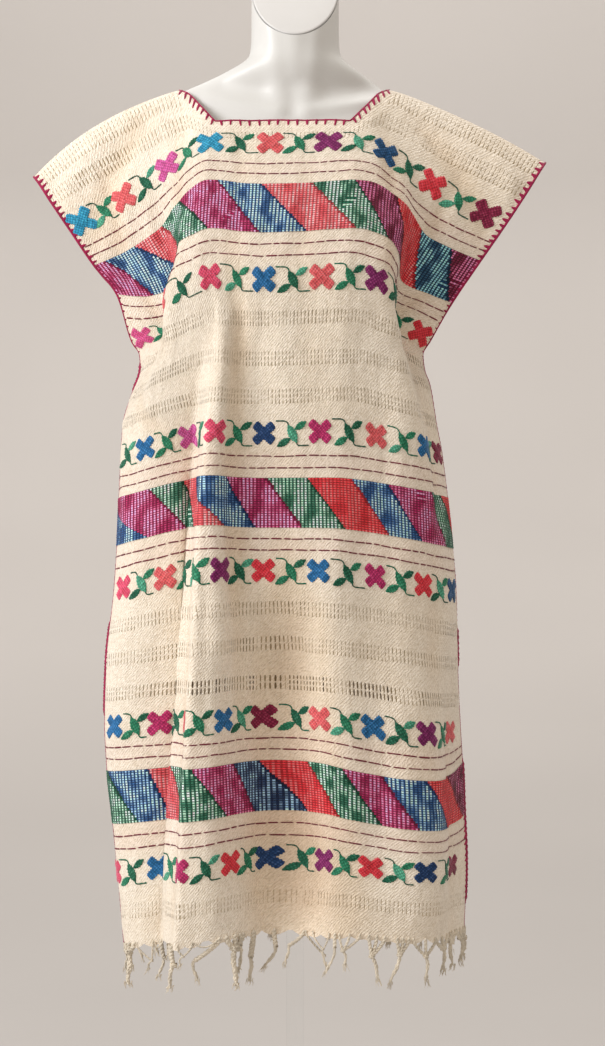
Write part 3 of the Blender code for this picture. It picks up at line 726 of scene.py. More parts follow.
# A stitch from side to side: shares of its half width, and of its height.
STITCH_ACROSS = np.array([-1.0, -0.62, 0.0, 0.62, 1.0])
STITCH_UP = np.array([0.0, 0.8, 1.0, 0.8, 0.0])


class Gathered:
    """Stitches or yarns gathered into one mesh."""

    def __init__(self):
        self.points, self.faces, self.dyes, self.count = [], [], [], 0

    def take(self, points, faces, dye=None):
        self.points.append(points.reshape(-1, 3))
        self.faces.append(faces.reshape(-1, 4) + self.count)
        self.count += len(self.points[-1])
        if dye is not None:
            self.dyes.append(dye.reshape(-1, 3))

    def lay(self, face, u, v, off, faces, dye=None):
        """Points off metres out from one face of the garment."""
        self.take(CLOTHS[face].at(u, v, off), wound(face, faces), dye)

    def stitch(self, face, u, v, half, height, dye=None, base=0.0):
        """A raised stitch along the places (u, v), with a half width and a height at each."""
        du, dv = np.gradient(u), np.gradient(v)
        length = np.hypot(du, dv) + 1e-12
        aside_u, aside_v = ((way / length * half)[:, None] * STITCH_ACROSS for way in (-dv, du))
        off = base + np.broadcast_to(height, u.shape)[:, None] * STITCH_UP
        dye = None if dye is None else np.broadcast_to(dye, (*off.shape, 3))
        self.lay(face, u[:, None] + aside_u, v[:, None] + aside_v, off, grid_faces(*off.shape), dye)

    def yarn(self, path, radius, pitch=0.007, plies=2, step=0.0012, taper=0.0, sides=6):
        """A yarn of twisted plies along a path."""
        path = resample(path, step)
        length, frames = lengths(path), frames_along(path)
        size = radius * (1 - taper * (length / length[-1]) ** 3)
        for ply in range(plies):
            turn = 2 * math.pi * (length / pitch + ply / plies)
            away = frames[:, 0] * np.cos(turn)[:, None] + frames[:, 1] * np.sin(turn)[:, None]
            self.take(*tube(path + away * (size * 0.5)[:, None], size * 0.62, sides))

    def build(self, name, material, slot, node=None, **layers):
        points, faces = np.concatenate(self.points), np.concatenate(self.faces)
        dye = np.concatenate(self.dyes) if self.dyes else None
        return add_piece(name, points, faces, material, slot, node, dye, **layers)


# The cloth itself, with its rows of open gauze

GAUZE_COUNT = 128
GAUZE_PITCH = CLOTH_WIDTH / GAUZE_COUNT
GAUZE_MIDDLES = (np.arange(GAUZE_COUNT) + 5 / 6) * GAUZE_PITCH - HALF_WIDTH
GAUZE_HALF = 0.0085
GAUZE_DEPTH = 0.0178
PLAIN_STEP = 0.0074
# Rows of a gauze band with two tall gaps, or with three short ones: how far each lies below the
# band's top, and whether the gap under it is open.
ROW_DROPS = np.array([(0, 2.6, 5.2, 7.9, 9.3, 11.8, 14.3, 16.8),
                      (0, 2.3, 4.6, 6.2, 8.5, 10.8, 12.4, 14.7)]) / 1000
ROW_OPENS = np.array([(1, 1, 1, 0, 1, 1, 1, 0), (1, 1, 0, 1, 1, 0, 1, 1)], bool)
LEAST_OPEN = 0.06
QUITE_OPEN = 0.98
# Each gauze band: its depth and how open it is all along, then stretches that differ: from and to
# across the cloth, rows of gaps and openness.
GAUZE = {
    FRONT: """
13 300 -130 130 3 0 140 220 3 120 240 310 3 400;
41 300 -280 -200 2 600 130 210 3 120 240 310 3 400;
313.8 340 -200 -130 3 600 -120 -85 2 120 30 100 2 500 220 310 2 700;
362.2 340 -230 -150 3 600 -120 -80 2 100 -40 20 3 500 220 300 2 700;
408.3 340 -220 -150 2 600 0 60 3 550 120 200 3 450 240 300 2 600;
666.8 340 -120 -60 2 150 -45 30 2 620 30 100 3 500 150 230 2 150;
711 360 -210 -170 3 550 -120 -70 2 120 -50 40 2 660 160 260 2 450;
757 380 -235 -175 2 750 -123 -68 2 1100 -67 -34 2 620 -31 -16 3 900 -15.5 0.5 2 800 1 15.5 2 1100 16
85 3 850 100 165 2 1100 190 240 2 700;
1018.2 220 -200 -130 3 620 -50 30 2 150 60 140 2 300 200 270 3 400
""",
    BACK: """
13 340 -130 130 3 0;
44 360 -270 -180 3 600 180 280 2 550;
313.8 340 -240 -160 3 600 -60 40 2 700 160 260 3 600;
362.2 340 -280 -200 3 500 -100 -20 3 600 120 220 2 750;
408.3 340 -200 -120 2 700 -20 80 3 600 200 280 3 550;
668.1 320 -270 -180 3 600 -50 50 2 800 160 250 3 600;
712.9 340 -200 -100 3 600 20 110 2 850 200 280 2 500;
763.8 360 -260 -180 2 900 -100 0 3 800 120 200 2 1000;
1018.2 240 -250 -150 3 600 -50 50 2 700 160 260 3 500
""",
}


def gauze_bands(face):
    for line in GAUZE[face].split(";"):
        middle, base, *words = line.split()
        stretches = [(mm(start), mm(end), int(rows), mm(most)) for start, end, rows, most in
                     zip(*(words[k::4] for k in range(4)))]
        yield mm(middle), mm(base), stretches


def openness(middle, base, stretches, u):
    """How open a gauze band is at u, 0 to 1, and how many rows of gaps it has there."""
    wave = 0.5 * math.sin(u * 61 + middle * 90) + 0.5 * math.sin(u * 143 + middle * 31)
    found, rows = base * (1 + 0.45 * wave), 3 if math.sin(u * 23 + middle * 70) > 0 else 2
    for start, end, count, most in stretches:
        if start <= u <= end:
            rim = float(smooth(min(u - start, end - u) / (0.12 * (end - start)) + 0.4))
            found, rows = found + (most - found) * rim, count
    return found, rows


def gauze_cells(face):
    """For each gauze band, its gaps' half widths, which rows they have and how open they are."""
    draw = random.Random(5 + face)
    for band in gauze_bands(face):
        cells = []
        for u in GAUZE_MIDDLES:
            opened, rows = openness(*band, u)
            opened = min(max(opened * draw.uniform(0.7, 1.2), 0.0), 1.0)
            if draw.random() < 0.05:
                opened *= 0.3
            cells.append((0.00022 + 0.00088 * opened, rows - 2, opened))
        half, kind, opened = np.array(cells).T
        yield half, kind.astype(int), opened


def cloth_rows(face):
    """Every row's depth, or the top of its gauze band with the band's and the row's numbers."""
    rows, at = [], 0.0
    for band, (middle, *_) in enumerate(gauze_bands(face)):
        top = middle - GAUZE_HALF
        count = max(round((top - at) / PLAIN_STEP), 1)
        rows += [(at + (top - at) * k / count, None, 0) for k in range(count)]
        rows += [(top, band, k) for k in range(ROW_DROPS.shape[1])]
        at = top + GAUZE_DEPTH
    count = round((CLOTH_LENGTH - at) / PLAIN_STEP)
    return rows + [(at + (CLOTH_LENGTH - at) * k / count, None, 0) for k in range(count + 1)]


# The fringe's bundles in front: from and to across the cloth, then the knot and the end, to the
# right of the middle of the roots and down from the hem, and half the thickness.
FRONT_BUNDLES = table("""
left right knot drop tail length thick
-285 -267 0 6 0 47 3.3
-262 -237 10 19 3 31 1.4
-222 -222 4 20 -2 43 2.1
-165 -150 4 21 -2 49 2.8
-140 -120 -2 11 -8 23 1.5
-83 -83 -31 24 -28 48 2.2
-73 -47 -1 12 -1 58 3.6
-52 -52 0 10 0 40 2.1
-29 -29 -4 28 -4 57 2.7
0 0 2 18 -11 45 2.3
33 33 -18 15 -22 38 1.8
36 36 24 27 23 42 1.1
47 70 3 17 5 36 1.2
78 78 0 14 -9 45 1.8
84 109 -8 17 -3 37 1.9
120 139 -6 21 4 53 2.5
154 168 -4 16 -15 53 2.5
174 206 0 18 2 50 2.2
206 243 1 12 2 40 2.5
256 280 -1 10 -2 41 2.4
285 308 0 9 3 39 2.4
""")
BACK_BUNDLES = 20


def bundles(face):
    if face == FRONT:
        return list(zip(*FRONT_BUNDLES.values()))
    draw, found = random.Random(2025), []
    for i in range(BACK_BUNDLES):
        middle = ((i + 0.5 + 0.22 * math.sin(2.4 * i)) / BACK_BUNDLES - 0.5) * CLOTH_WIDTH
        half, swing = draw.choice((0.0, 0.0085, 0.0085, 0.0105)), draw.uniform(-9, 9)
        hang = 0.3 * swing, draw.uniform(9, 18), swing, draw.uniform(34, 52), draw.uniform(1.7, 2.8)
        found.append((middle - half, middle + half, *(x / 1000 for x in hang)))
    return found


BUNDLES = {face: bundles(face) for face in (FRONT, BACK)}
# How far the hem is drawn down at each bundle, and lifted between them.
HEM_DOWN = 0.0030
HEM_LIFT = 0.0060


def neck_top(face, u):
    slant = (NECK_TOP - np.abs(u - NECK_MIDDLE)) / (NECK_TOP - NECK_BOTTOM)
    return NECK_DEPTH[face] * np.clip(slant, 0, 1)


# Where washing has carried a little dye into the cotton: centre depth, half height and strength.
DYE_BLEED = table("""
middle half strength
122.5 13 700
176.2 40 600
230.8 13 700
488.4 13 800
538.2 38 600
588.6 12 800
829.2 13 800
882.2 38 600
932.8 13 800
""")


def cloth_shade(face, u, v):
    """The cotton's tone: painted shade, darker and warmer, in the troughs of its creases, and a little pink
    beside the dyed threads, where dye has bled.
    """
    relief = crease_relief(face, u, v) - pucker_relief(face, u, v)
    # painted shade: the cloth is tinted darker and warmer in its crease troughs, more so in the deep ones
    trough = np.clip(-relief / 0.005, 0, 1)[..., None]
    deep = np.clip((-relief - 0.007) / 0.010, 0, 1)[..., None]
    tone = 1 - trough * np.array([0.06, 0.11, 0.17]) - deep * np.array([0.11, 0.16, 0.19])
    pink = np.zeros(u.shape)
    for middle, half, strength in zip(*DYE_BLEED.values()):
        pink = np.maximum(pink, strength * np.exp(-(((v - middle) / half) ** 4)))
    return tone * (1 - pink[..., None] * np.array([0.0, 0.045, 0.035]))


def add_cloth(face):
    rows, cells = cloth_rows(face), list(gauze_cells(face))
    columns = 3 * GAUZE_COUNT + 1
    u, v, off, opened = (np.zeros((len(rows), columns)) for _ in range(4))
    hole = np.zeros((len(rows) - 1, columns - 1), bool)
    for i, (depth, band, k) in enumerate(rows):
        half = GAUZE_PITCH / 6
        v[i] = depth
        if band is not None:
            size, kind, share = cells[band]
            opens = ROW_OPENS[kind, k]
            half = size * np.where(opens & ROW_OPENS[kind, k - 1] & (k > 0), 1.0, 0.6)
            drops = ROW_DROPS[kind, k]
            v[i] += np.concatenate([drops[:1], np.repeat(drops, 3)])
            opened[i, 2:-2:3] = share[:-1]
            hole[i, 2::3] = opens & (opened[i, 2::3] > LEAST_OPEN)
            off[i, 1::3] = 0.00055 * np.clip(share * 1.6, 0.35, 1.0) * (1.0 if k else 0.3)
            off[i, 2::3] = off[i, 3::3] = -0.0001
        u[i, 2::3] = GAUZE_MIDDLES - half
        u[i, 3::3] = GAUZE_MIDDLES + half
        u[i, 0] = -HALF_WIDTH
        u[i, 1::3] = (u[i, 0:-1:3] + u[i, 2::3]) / 2
        u[i, -1] = HALF_WIDTH
    v = v + neck_top(face, u) * np.clip(1 - v / NECK_REACH, 0, 1) ** 1.5
    points, shade = CLOTHS[face].at(u, v, off), cloth_shade(face, u, v)
    roots = np.array([root for bundle in BUNDLES[face] for root in bundle[:2]])
    apart = np.min(np.abs(u[-1][:, None] - roots), axis=1)
    for row, share in ((-1, 1.0), (-2, 0.4)):
        points[row, :, 2] += share * (HEM_LIFT * np.clip(apart / 0.014, 0, 1) ** 2 - HEM_DOWN)
    # behind most gaps the finer threads still close the cloth, set back from it; their colour is painted shade,
    # darker the more open the gap, standing for the shade inside the garment
    i, j = np.nonzero(hole & (opened[:-1, :-1] < QUITE_OPEN))
    corners = (np.stack([i, i + 1, i + 1, i]), np.stack([j, j, j + 1, j + 1]))
    set_u = u[corners] + np.array([-1, -1, 1, 1])[:, None] * 0.0004
    set_v = v[corners] + np.array([-1, 1, 1, -1])[:, None] * 0.0003
    # painted shade on the set-back threads: the more open the gap, the darker
    deep = np.clip(0.30 + 0.70 * opened[i, j] ** 2, 0, 1)[None, :, None]
    tint = 1 - deep ** np.array([1.0, 0.85, 0.6]) * np.array([0.80, 0.84, 0.90])
    mesh = Gathered()
    mesh.take(points, wound(face, grid_faces(*u.shape)[..., TURNED][~hole]), shade)
    faces = np.arange(len(i))[:, None] + np.arange(4) * len(i)
    mesh.lay(face, set_u, set_v, -0.0005, faces, shade[corners] * tint)
    u, v = np.concatenate([u.ravel(), set_u.ravel()]), np.concatenate([v.ravel(), set_v.ravel()])
    # the two cloths' grains differ
    uv = np.stack([u, v + (0 if face == FRONT else 2)], axis=-1)
    name = FACE_NAMES[face]
    return mesh.build(name + "_cloth", COTTON[face], name + "_cotton", name + "_panel", uv=uv, layer="Shade")


# Brocade: rows of flowers and leaves

DYES = colours(
    "coral 255 104 108, red 255 60 74, rose 252 84 118, pink 250 96 156, orchid 220 90 160, magenta 200 48 112,"
    "purple 136 34 104, burgundy 140 24 66, sky 46 158 200, blue 34 112 170, navy 26 66 118, petrol 20 82 132,"
    "green 40 134 98, deep 22 104 76, teal 84 172 140, vine 44 88 68")
GREENS = ("deep", "green", "green", "deep", "teal", "green", "deep")
PITCH = 0.072
PETAL_ANGLE = math.radians(41)
PETAL_LENGTH = 0.0173
# Half widths of a petal, from its flower's middle, and as a share of a leaf, from end to end.
PETAL = np.array(((0.0, 0.0056), (0.5, 0.0060), (0.8, 0.0062), (0.93, 0.0055), (1.0, 0.0036))).T
LEAF = np.array(((0.0, 0.10), (0.2, 0.68), (0.45, 1.0), (0.7, 0.86), (1.0, 0.10))).T
STITCH = 0.0034
FLOWER_INSET = 0.019
# How high a stitch is at its corners, along its sides and in its middle, and its painted light there: painted
# shade at the low corners and a painted highlight on the raised middle.
STITCH_HEIGHTS = np.array([0.0005, 0.0010, 0.0019])
STITCH_SHADE_AND_HIGHLIGHT = np.array([0.40, 0.84, 1.50])
# Each row of flowers: its depth and size, then places and dyes from left to right. Behind, the
# flowers stand PITCH apart, and the place is the middle one's.
FLOWERS = {
    FRONT: """
84 1140 -300 sky -233 coral -159 orchid -89.5 sky -9 coral 64.5 purple 139.5 petrol 212.5 red 290.5
burgundy;
266 1090 -300 pink -232 blue -187 coral -90.5 rose -8.5 blue 70 coral 145.5 purple 224 blue 303.5
red;
453.2 1000 -302 none -232.5 blue -164.5 orchid -80.5 rose -7.5 navy 69.5 magenta 149.5 coral 226
blue 294 burgundy;
619.5 980 -278.5 rose -212.5 coral -143 none -71.5 purple -8.5 red 63 blue 142.5 magenta 213 red
278.5 petrol;
798.9 1000 -284 blue -218.5 magenta -145 coral -72.5 blue -9.5 burgundy 61 coral 130.5 blue 200.5
purple 274 coral;
970.1 980 -304 rose -226.5 blue -140 magenta -66.5 red -8 navy 58 purple 121.5 red 187.5 navy 272
burgundy
""",
    BACK: """
84 1080 -6 coral purple sky coral purple blue coral rose blue;
266 1040 -2 blue coral magenta blue coral pink blue red purple;
453.2 1000 -4 magenta coral blue purple coral blue magenta red blue;
619.5 980 -1 purple blue coral magenta blue coral purple blue red;
798.9 1000 2 coral navy rose coral blue purple coral blue magenta;
970.1 980 1 blue coral purple blue red magenta blue coral purple
""",
}


def flower_rows(face):
    for line in FLOWERS[face].split(";"):
        depth, size, *words = line.split()
        places, names = map(mm, words[::2]), words[1::2]
        if face == BACK:
            places, names = (c * PITCH + mm(words[0]) for c in range(-4, 5)), words[1:]
        yield mm(depth), mm(size), list(zip(places, names))


def varied(dye, draw, spread=0.12):
    return np.clip(np.array(dye) * draw.uniform(1 - spread, 1 + spread), 0, 1)


def add_blade(mesh, face, u, v, angle, start, end, half_at, dye, draw):
    """A petal or leaf darned in small raised stitches, which points at angle."""
    way_u, way_v = math.cos(angle), math.sin(angle)
    long = 2 * max(round((end - start) / STITCH), 4) + 1
    r = np.linspace(start, end, long)[:, None]
    half = half_at(r) * np.where(np.arange(long) % 2, 1.08, 0.86)[:, None]
    wide = 2 * max(round(2 * float(half.max()) / STITCH), 3) + 1
    s = np.linspace(-1, 1, wide)[None] * half
    # 2 in the middle of a stitch, 1 along its sides and 0 at its corners
    crown = (np.arange(long) % 2)[:, None] + np.arange(wide) % 2
    own = np.array([[draw.random() for _ in range(wide // 2 + 1)] for _ in range(long // 2 + 1)])
    own = own[np.arange(long)[:, None] // 2, np.arange(wide)[None] // 2]
    height = STITCH_HEIGHTS[crown] * (0.8 + 0.4 * own)
    height[[0, -1]] = height[:, [0, -1]] = 0.0001
    # painted shade in each stitch's low corners and along the blade's rim, painted highlight on its raised
    # middle
    tone = STITCH_SHADE_AND_HIGHLIGHT[crown] * (0.68 + 0.64 * own)
    tone[[0, -1]] = tone[:, [0, -1]] = 0.60
    # a painted glint on the highest stitches
    painted_glint = 0.08 * (np.clip(crown - 1, 0, 1) * own**2)[..., None]
    mesh.lay(face, u + way_u * r - way_v * s, v + way_v * r + way_u * s, height, grid_faces(long, wide),
             np.clip(np.array(dye) * tone[..., None] + painted_glint, 0, 1))


def add_flower(mesh, face, u, v, size, dye, draw):
    length = PETAL_LENGTH * size * draw.uniform(0.98, 1.02)

    def half_at(r):
        return np.interp(np.abs(r) / length, PETAL[0], PETAL[1] * size)

    first = draw.choice((-1, 1))
    turn = first * PETAL_ANGLE + draw.uniform(-0.03, 0.03)
    add_blade(mesh, face, u, v, turn, -length, length, half_at, dye, draw)
    for turn in (0, math.pi):
        turn += draw.uniform(-0.04, 0.04) - first * PETAL_ANGLE
        add_blade(mesh, face, u, v, turn, 0.0042, length * draw.uniform(0.96, 1.04), half_at, dye, draw)


def add_sprig(mesh, face, u, v, pitch, greens, draw):
    """The leaves and the winding stem between a flower and the next one, pitch to its right."""
    middle, near = u + 0.51 * pitch, min(pitch / PITCH, 1.0)
    leaves = ((0.0, 0.0014, 61, 0.0126, 0.0064), (0.0112 * near, -0.0086, -30, 0.0092, 0.0046),
              (-0.0118 * near, 0.0114, -27, 0.0108, 0.0048))
    for (du, dv, turn, length, wide), green in zip(leaves, greens):
        add_blade(mesh, face, middle + du, v + dv, math.radians(turn), -length, length,
                  lambda r: np.interp(0.5 + 0.5 * r / length, LEAF[0], LEAF[1] * wide), DYES[green], draw)
    stem = DYES["vine"] if draw.random() < 0.6 else DYES["deep"]
    for places in (((u + 0.0165, -0.0148), (middle - 0.0095, -0.0146), (middle - 0.0062, -0.0120),
                    (middle - 0.0050, -0.0075)),
                   ((middle + 0.0045, 0.0098), (middle + 0.0062, 0.0150), (middle + 0.0090, 0.0158),
                    (u + pitch - 0.0160, 0.0154))):
        path = resample([(x, v + down) for x, down in places], 0.0022, rounds=1)
        half = 0.00085 * (1 + 0.18 * np.sin(np.arange(len(path)) * 1.9 + draw.uniform(0, 6)))
        mesh.stitch(face, *path.T, half, 0.0009, varied(stem, draw), base=0.0001)


def add_flower_row(face, number, depth, size, flowers):
    mesh, draw = Gathered(), random.Random(100 * number + 7 + face)
    edge = HALF_WIDTH - FLOWER_INSET
    for k, (u, name) in enumerate(flowers):
        drop = depth + draw.uniform(-0.0008, 0.0008)
        if name != "none":
            add_flower(mesh, face, min(max(u, -edge), edge), drop, size, DYES[name], draw)
        pitch = (flowers[k + 1][0] if k + 1 < len(flowers) else u + PITCH) - u
        if u + 0.51 * pitch < edge + 0.003:
            greens = [GREENS[(k * 2 + number + s) % len(GREENS)] for s in (0, 1, 3)]
            add_sprig(mesh, face, u, drop, pitch, greens, draw)
    return mesh.build(f"{FACE_NAMES[face]}_flowers_{number}", BROCADE, FACE_NAMES[face] + "_cotton")


# Brocade: bands of slanting stripes

RIBS = 130
GRAIN = 0.0029
# A rib from side to side: shares of its pitch, and of its height.
RIB_ACROSS = np.array([-0.30, -0.17, 0.17, 0.30])
RIB_UP = np.array([0.0, 0.9, 0.9, 0.0])
# Each band: its top and bottom depth, then the stripes' dyes and, between them, where each meets
# the next at the band's top and at its bottom. Behind, where the stripes are even, only the first
# meeting and the step to the next are given, before the dyes.
BANDS = {
    FRONT: """
143.9 208.4 magenta -301 -262 blue -251 -185 coral -200 -150 green -150 -92 magenta -83 -17 blue -19
47 coral 48 112 green 106 159 burgundy 168 205 red 225 265 petrol 276 315 burgundy;
507.8 568.6 blue -335 -232 magenta -231 -180 green -186 -146 coral -134 -66 blue -60 -18 magenta -3
45 green 52 102 red 113 167 blue 165 215 magenta 235 270 green 275 320 red;
852.2 913.6 green -297 -249 blue -232 -205 coral -190 -140 green -118 -71 magenta -57 -22 navy -14
34 red 40 84 green 88 136 magenta 138 181 blue 190 238 red 262 310 burgundy
""",
    BACK: """
143.9 208.4 -296 -236 54 blue coral green magenta blue coral petrol magenta red green blue coral;
507.8 568.6 -302 -246 53 magenta green coral navy magenta green coral blue burgundy green coral blue;
850.8 913.6 -290 -234 52 coral green magenta blue coral green magenta petrol coral green magenta blue
""",
}
# The ribs' own dyes, a little deeper than the flowers'; the paler thread between them, and how
# much of it shows.
RIB_DYES = colours("coral 255 92 102, red 248 54 64, magenta 178 22 90, burgundy 120 10 54, blue 20 78 142,"
                   "navy 20 48 94, petrol 12 66 106, green 20 106 78")
PALE_DYES = colours("coral 255 176 178, red 255 130 130, magenta 252 160 204, burgundy 236 130 176,"
                    "blue 184 226 250, navy 160 200 232, petrol 150 212 228, green 200 242 216")
PALE_SHARES = dict(zip(RIB_DYES, (0.60, 0.55, 0.80, 0.70, 0.90, 0.80, 0.80, 0.95)))
# For each kind of thread in a band, how much of the pale one it shows, and how bright it is: the bead gaps and
# the ground between the ribs are darkened, painted shade in those hollows.
THREAD_PALENESS_AND_SHADE = {"rib": (0.06, 1.0), "gap": (0.0, 0.42), "pale": (1.0, 1.50), "ground": (0.10, 0.33)}
BAND_PALENESS = (1.35, 1.15, 1.0)
BORDER = 0.0034


def bands(face):
    for line in BANDS[face].split(";"):
        top, bottom, *words = line.split()
        dyes, meets = words[::3], zip(map(mm, words[1::3]), map(mm, words[2::3]))
        if face == BACK:
            start, end, step = map(mm, words[:3])
            dyes, meets = words[3:], ((start + step * k, end + step * k) for k in range(11))
        yield mm(top), mm(bottom), dyes, list(meets)


def blotches(seed, u, v, size):
    """Soft patches between -1 and 1."""
    draw = random.Random(seed)
    total = np.zeros(u.shape)
    for _ in range(6):
        turn, shift = draw.uniform(0, math.pi), draw.uniform(0, 2 * math.pi)
        length = size * draw.uniform(0.7, 1.5)
        total += np.sin(2 * math.pi * (u * math.cos(turn) + v * math.sin(turn)) / length + shift)
    return total / 2.6


def band_shade(face, number, band, u, v, part, draw):
    """The colour of a band's threads: part is rib, bead gap, pale stitch or the ground by it, the bead gaps and
    the ground darkened by painted shade.
    """
    top, bottom, dyes, meets = band
    down, index, to_next = (v - top) / (bottom - top), np.zeros(u.shape, int), np.full(u.shape, 1.0)
    for start, end in meets:
        gap = start + (end - start) * down - u
        index += gap < 0
        to_next = np.where((gap > 0) & (gap < to_next), gap, to_next)
    dye, light, pale = (np.array([colour[name] for name in dyes])[index]
                        for colour in (RIB_DYES, PALE_DYES, PALE_SHARES))
    border = to_next < BORDER
    seed = number * 17 + 3 * face
    patch, lines = blotches(seed + 1, u, v, 0.026), blotches(seed + 2, u, v, 0.050)
    shown, bright = THREAD_PALENESS_AND_SHADE[part]
    share = shown * pale * np.clip(0.80 + 0.80 * patch, 0.10, 1.15) * draw.uniform(0.65, 1.2, pale.shape)
    if part in ("rib", "pale"):
        share = np.where(lines > 1.45, pale * (np.floor((v - top) / GRAIN).astype(int) % 2), share)
    share = np.clip(np.where(border, 0.0, share) * BAND_PALENESS[number - 1], 0, 1.0)[..., None]
    tone = draw.uniform(0.72, 1.18, pale.shape) * bright
    tone = tone * np.where(border, 0.45, 1.0) * (1 - 0.22 * np.clip(-patch, 0, 1))
    return np.clip((dye * (1 - share) + light * share) * tone[..., None], 0, 1)


def add_band(face, number, *band):
    """Ribs of beaded thread down the cloth, with paler stitches between them."""
    top, bottom = band[:2]
    mesh, draw = Gathered(), np.random.default_rng(40 + number * 3 + face)
    grains = round((bottom - top) / GRAIN)
    rib = (CLOTH_WIDTH - 0.006) / RIBS
    centres = rib * (np.arange(RIBS) + 0.5) - rib * RIBS / 2
    rows = 2 * grains + 1
    v = np.linspace(top, bottom, rows)
    bead = np.arange(rows) % 2 == 1
    uneven = draw.uniform(0.86, 1.12, (RIBS, rows))
    u = centres[:, None, None] + RIB_ACROSS * rib * (np.where(bead, 1.0, 0.72) * uneven)[:, :, None]
    off = 0.0005 + 0.0010 * RIB_UP * (np.where(bead, 1.0, 0.45) * uneven)[:, :, None]
    grid = centres[:, None] + 0 * v[None], v[None] + 0 * centres[:, None]
    # the rows between beads are darker: painted shade in the rib's dips
    tone = np.where(bead[None, :, None], band_shade(face, number, band, *grid, "rib", draw),
                    band_shade(face, number, band, *grid, "gap", draw))
    faces = grid_faces(rows, 4)[..., TURNED] + (np.arange(RIBS) * rows * 4)[:, None, None, None]
    mesh.lay(face, u, np.broadcast_to(v[None, :, None], u.shape), off, faces,
             np.broadcast_to(tone[:, :, None, :], (*u.shape, 3)))
    # between two ribs, a pale stitch and a strip of ground for each bead, the ground darkened by painted shade
    lefts = np.concatenate([[-HALF_WIDTH + 0.0008], centres + 0.22 * rib])
    rights = np.concatenate([centres - 0.22 * rib, [HALF_WIDTH - 0.0008]])
    tall = (bottom - top) / grains
    for part, start, end, lift in (("pale", 0.16, 0.84, 0.0007), ("ground", -0.18, 0.18, 0.0005)):
        highs = np.maximum(top + (np.arange(grains) + start) * tall, top)
        lows = np.minimum(top + (np.arange(grains) + end) * tall, bottom)
        cell_u = np.stack([lefts, lefts, rights, rights], axis=-1)[:, None].repeat(grains, axis=1)
        cell_v = np.broadcast_to(np.stack([highs, lows, lows, highs], axis=-1)[None], cell_u.shape)
        tone = band_shade(face, number, band, cell_u.mean(axis=2), cell_v.mean(axis=2), part, draw)
        mesh.lay(face, cell_u, cell_v, lift, np.arange(cell_u.size).reshape(-1, 4),
                 np.broadcast_to(tone[:, :, None, :], (*cell_u.shape, 3)))
    return mesh.build(f"{FACE_NAMES[face]}_band_{number}", BROCADE, FACE_NAMES[face] + "_cotton")


# Running lines of dashes

DASHES = (0.1153, 0.1298, 0.2230, 0.2378, 0.4811, 0.4957, 0.5819, 0.5953, 0.8250, 0.8387, 0.9283, 0.9431)
SHORTEST_DASH = 0.006
DASH_INSET = 0.004


def add_dashes(face):
    mesh, draw = Gathered(), random.Random(61 + face)
    for depth in DASHES:
        u = -HALF_WIDTH + DASH_INSET
        while u < HALF_WIDTH - SHORTEST_DASH:
            end = min(u + draw.uniform(0.008, 0.018), HALF_WIDTH - 0.003)
            along = u + (end - u) * np.array([0.0, 0.12, 0.5, 0.88, 1.0])
            wander = depth + 0.0003 * np.sin(along * 90 + depth * 300) + draw.uniform(-0.0002, 0.0002)
            half = draw.uniform(0.0007, 0.00095) * np.array([0.35, 1.0, draw.uniform(0.8, 1.1), 1.0, 0.35])
            draw.random()  # keeps the order of the draws
            mesh.stitch(face, along, wander, half, 0.0008, base=0.0001)
            u = end + draw.choice((0.0006, 0.0012, 0.0018, 0.0028))
    return mesh.build(FACE_NAMES[face] + "_running_lines", DASH_THREAD, FACE_NAMES[face] + "_cotton")


# Blanket stitches on the neck and armholes, and the side seams

NECK_STITCH = 0.0118
ARM_STITCH = 0.0085
SEAM_END = 0.004
EDGE_RADIUS = 0.0011
# The armhole's stitches are bold above this depth, on the shoulder.
BOLD_ARMHOLE = 0.24
# Stretches of the side seams, by depth, where the stitches are long and close.
BOLD_SEAM = {LEFT: ((0.655, 0.790), (0.30, 0.355)), RIGHT: ((0.66, 0.72), (0.845, 1.03))}


def add_edging(name, node, slot, rope, stitches):
    """A rope along an edge, with stitches over both faces of the cloth there."""
    mesh = Gathered()
    mesh.take(*rope)
    for face in (FRONT, BACK):
        for stitch in stitches(face):
            mesh.stitch(face, *stitch)
    return mesh.build(name, EDGE_THREAD, slot, node)


def add_neck_stitches():
    u = NECK_MIDDLE + np.linspace(-NECK_TOP, NECK_TOP, 120)
    edges = {face: CLOTHS[face].at(u, neck_top(face, u)) for face in (FRONT, BACK)}

    def stitches(face):
        draw, length = random.Random(83 + face), lengths(edges[face])
        count = round(length[-1] / NECK_STITCH)
        s = np.linspace(0, 1, 6)
        for k in range(count):
            at = float(np.interp((k + 0.5) * length[-1] / count + draw.uniform(-0.0008, 0.0008), length, u))
            start = float(neck_top(face, np.array(at)))
            reach = draw.uniform(0.0072, 0.0092)
            slant = 0.0045 if abs(at - NECK_MIDDLE) > NECK_BOTTOM else 0.0
            lean = draw.uniform(-0.0008, 0.0008) + slant * np.sign(at)
            half = np.array([0.0017, 0.0016, 0.0015, 0.0014, 0.0012, 0.0005]) * draw.uniform(0.9, 1.12)
            yield at + lean * s, start - 0.0006 + reach * s, half, [0.0013] * 5 + [0.0006]

    ring = np.concatenate([edges[FRONT], edges[BACK][::-1][1:-1]])
    rope = tube(ring, EDGE_RADIUS, 8, closed=True)
    return add_edging("neck_blanket_stitch", "neck_edging", "neck_thread", rope, stitches)


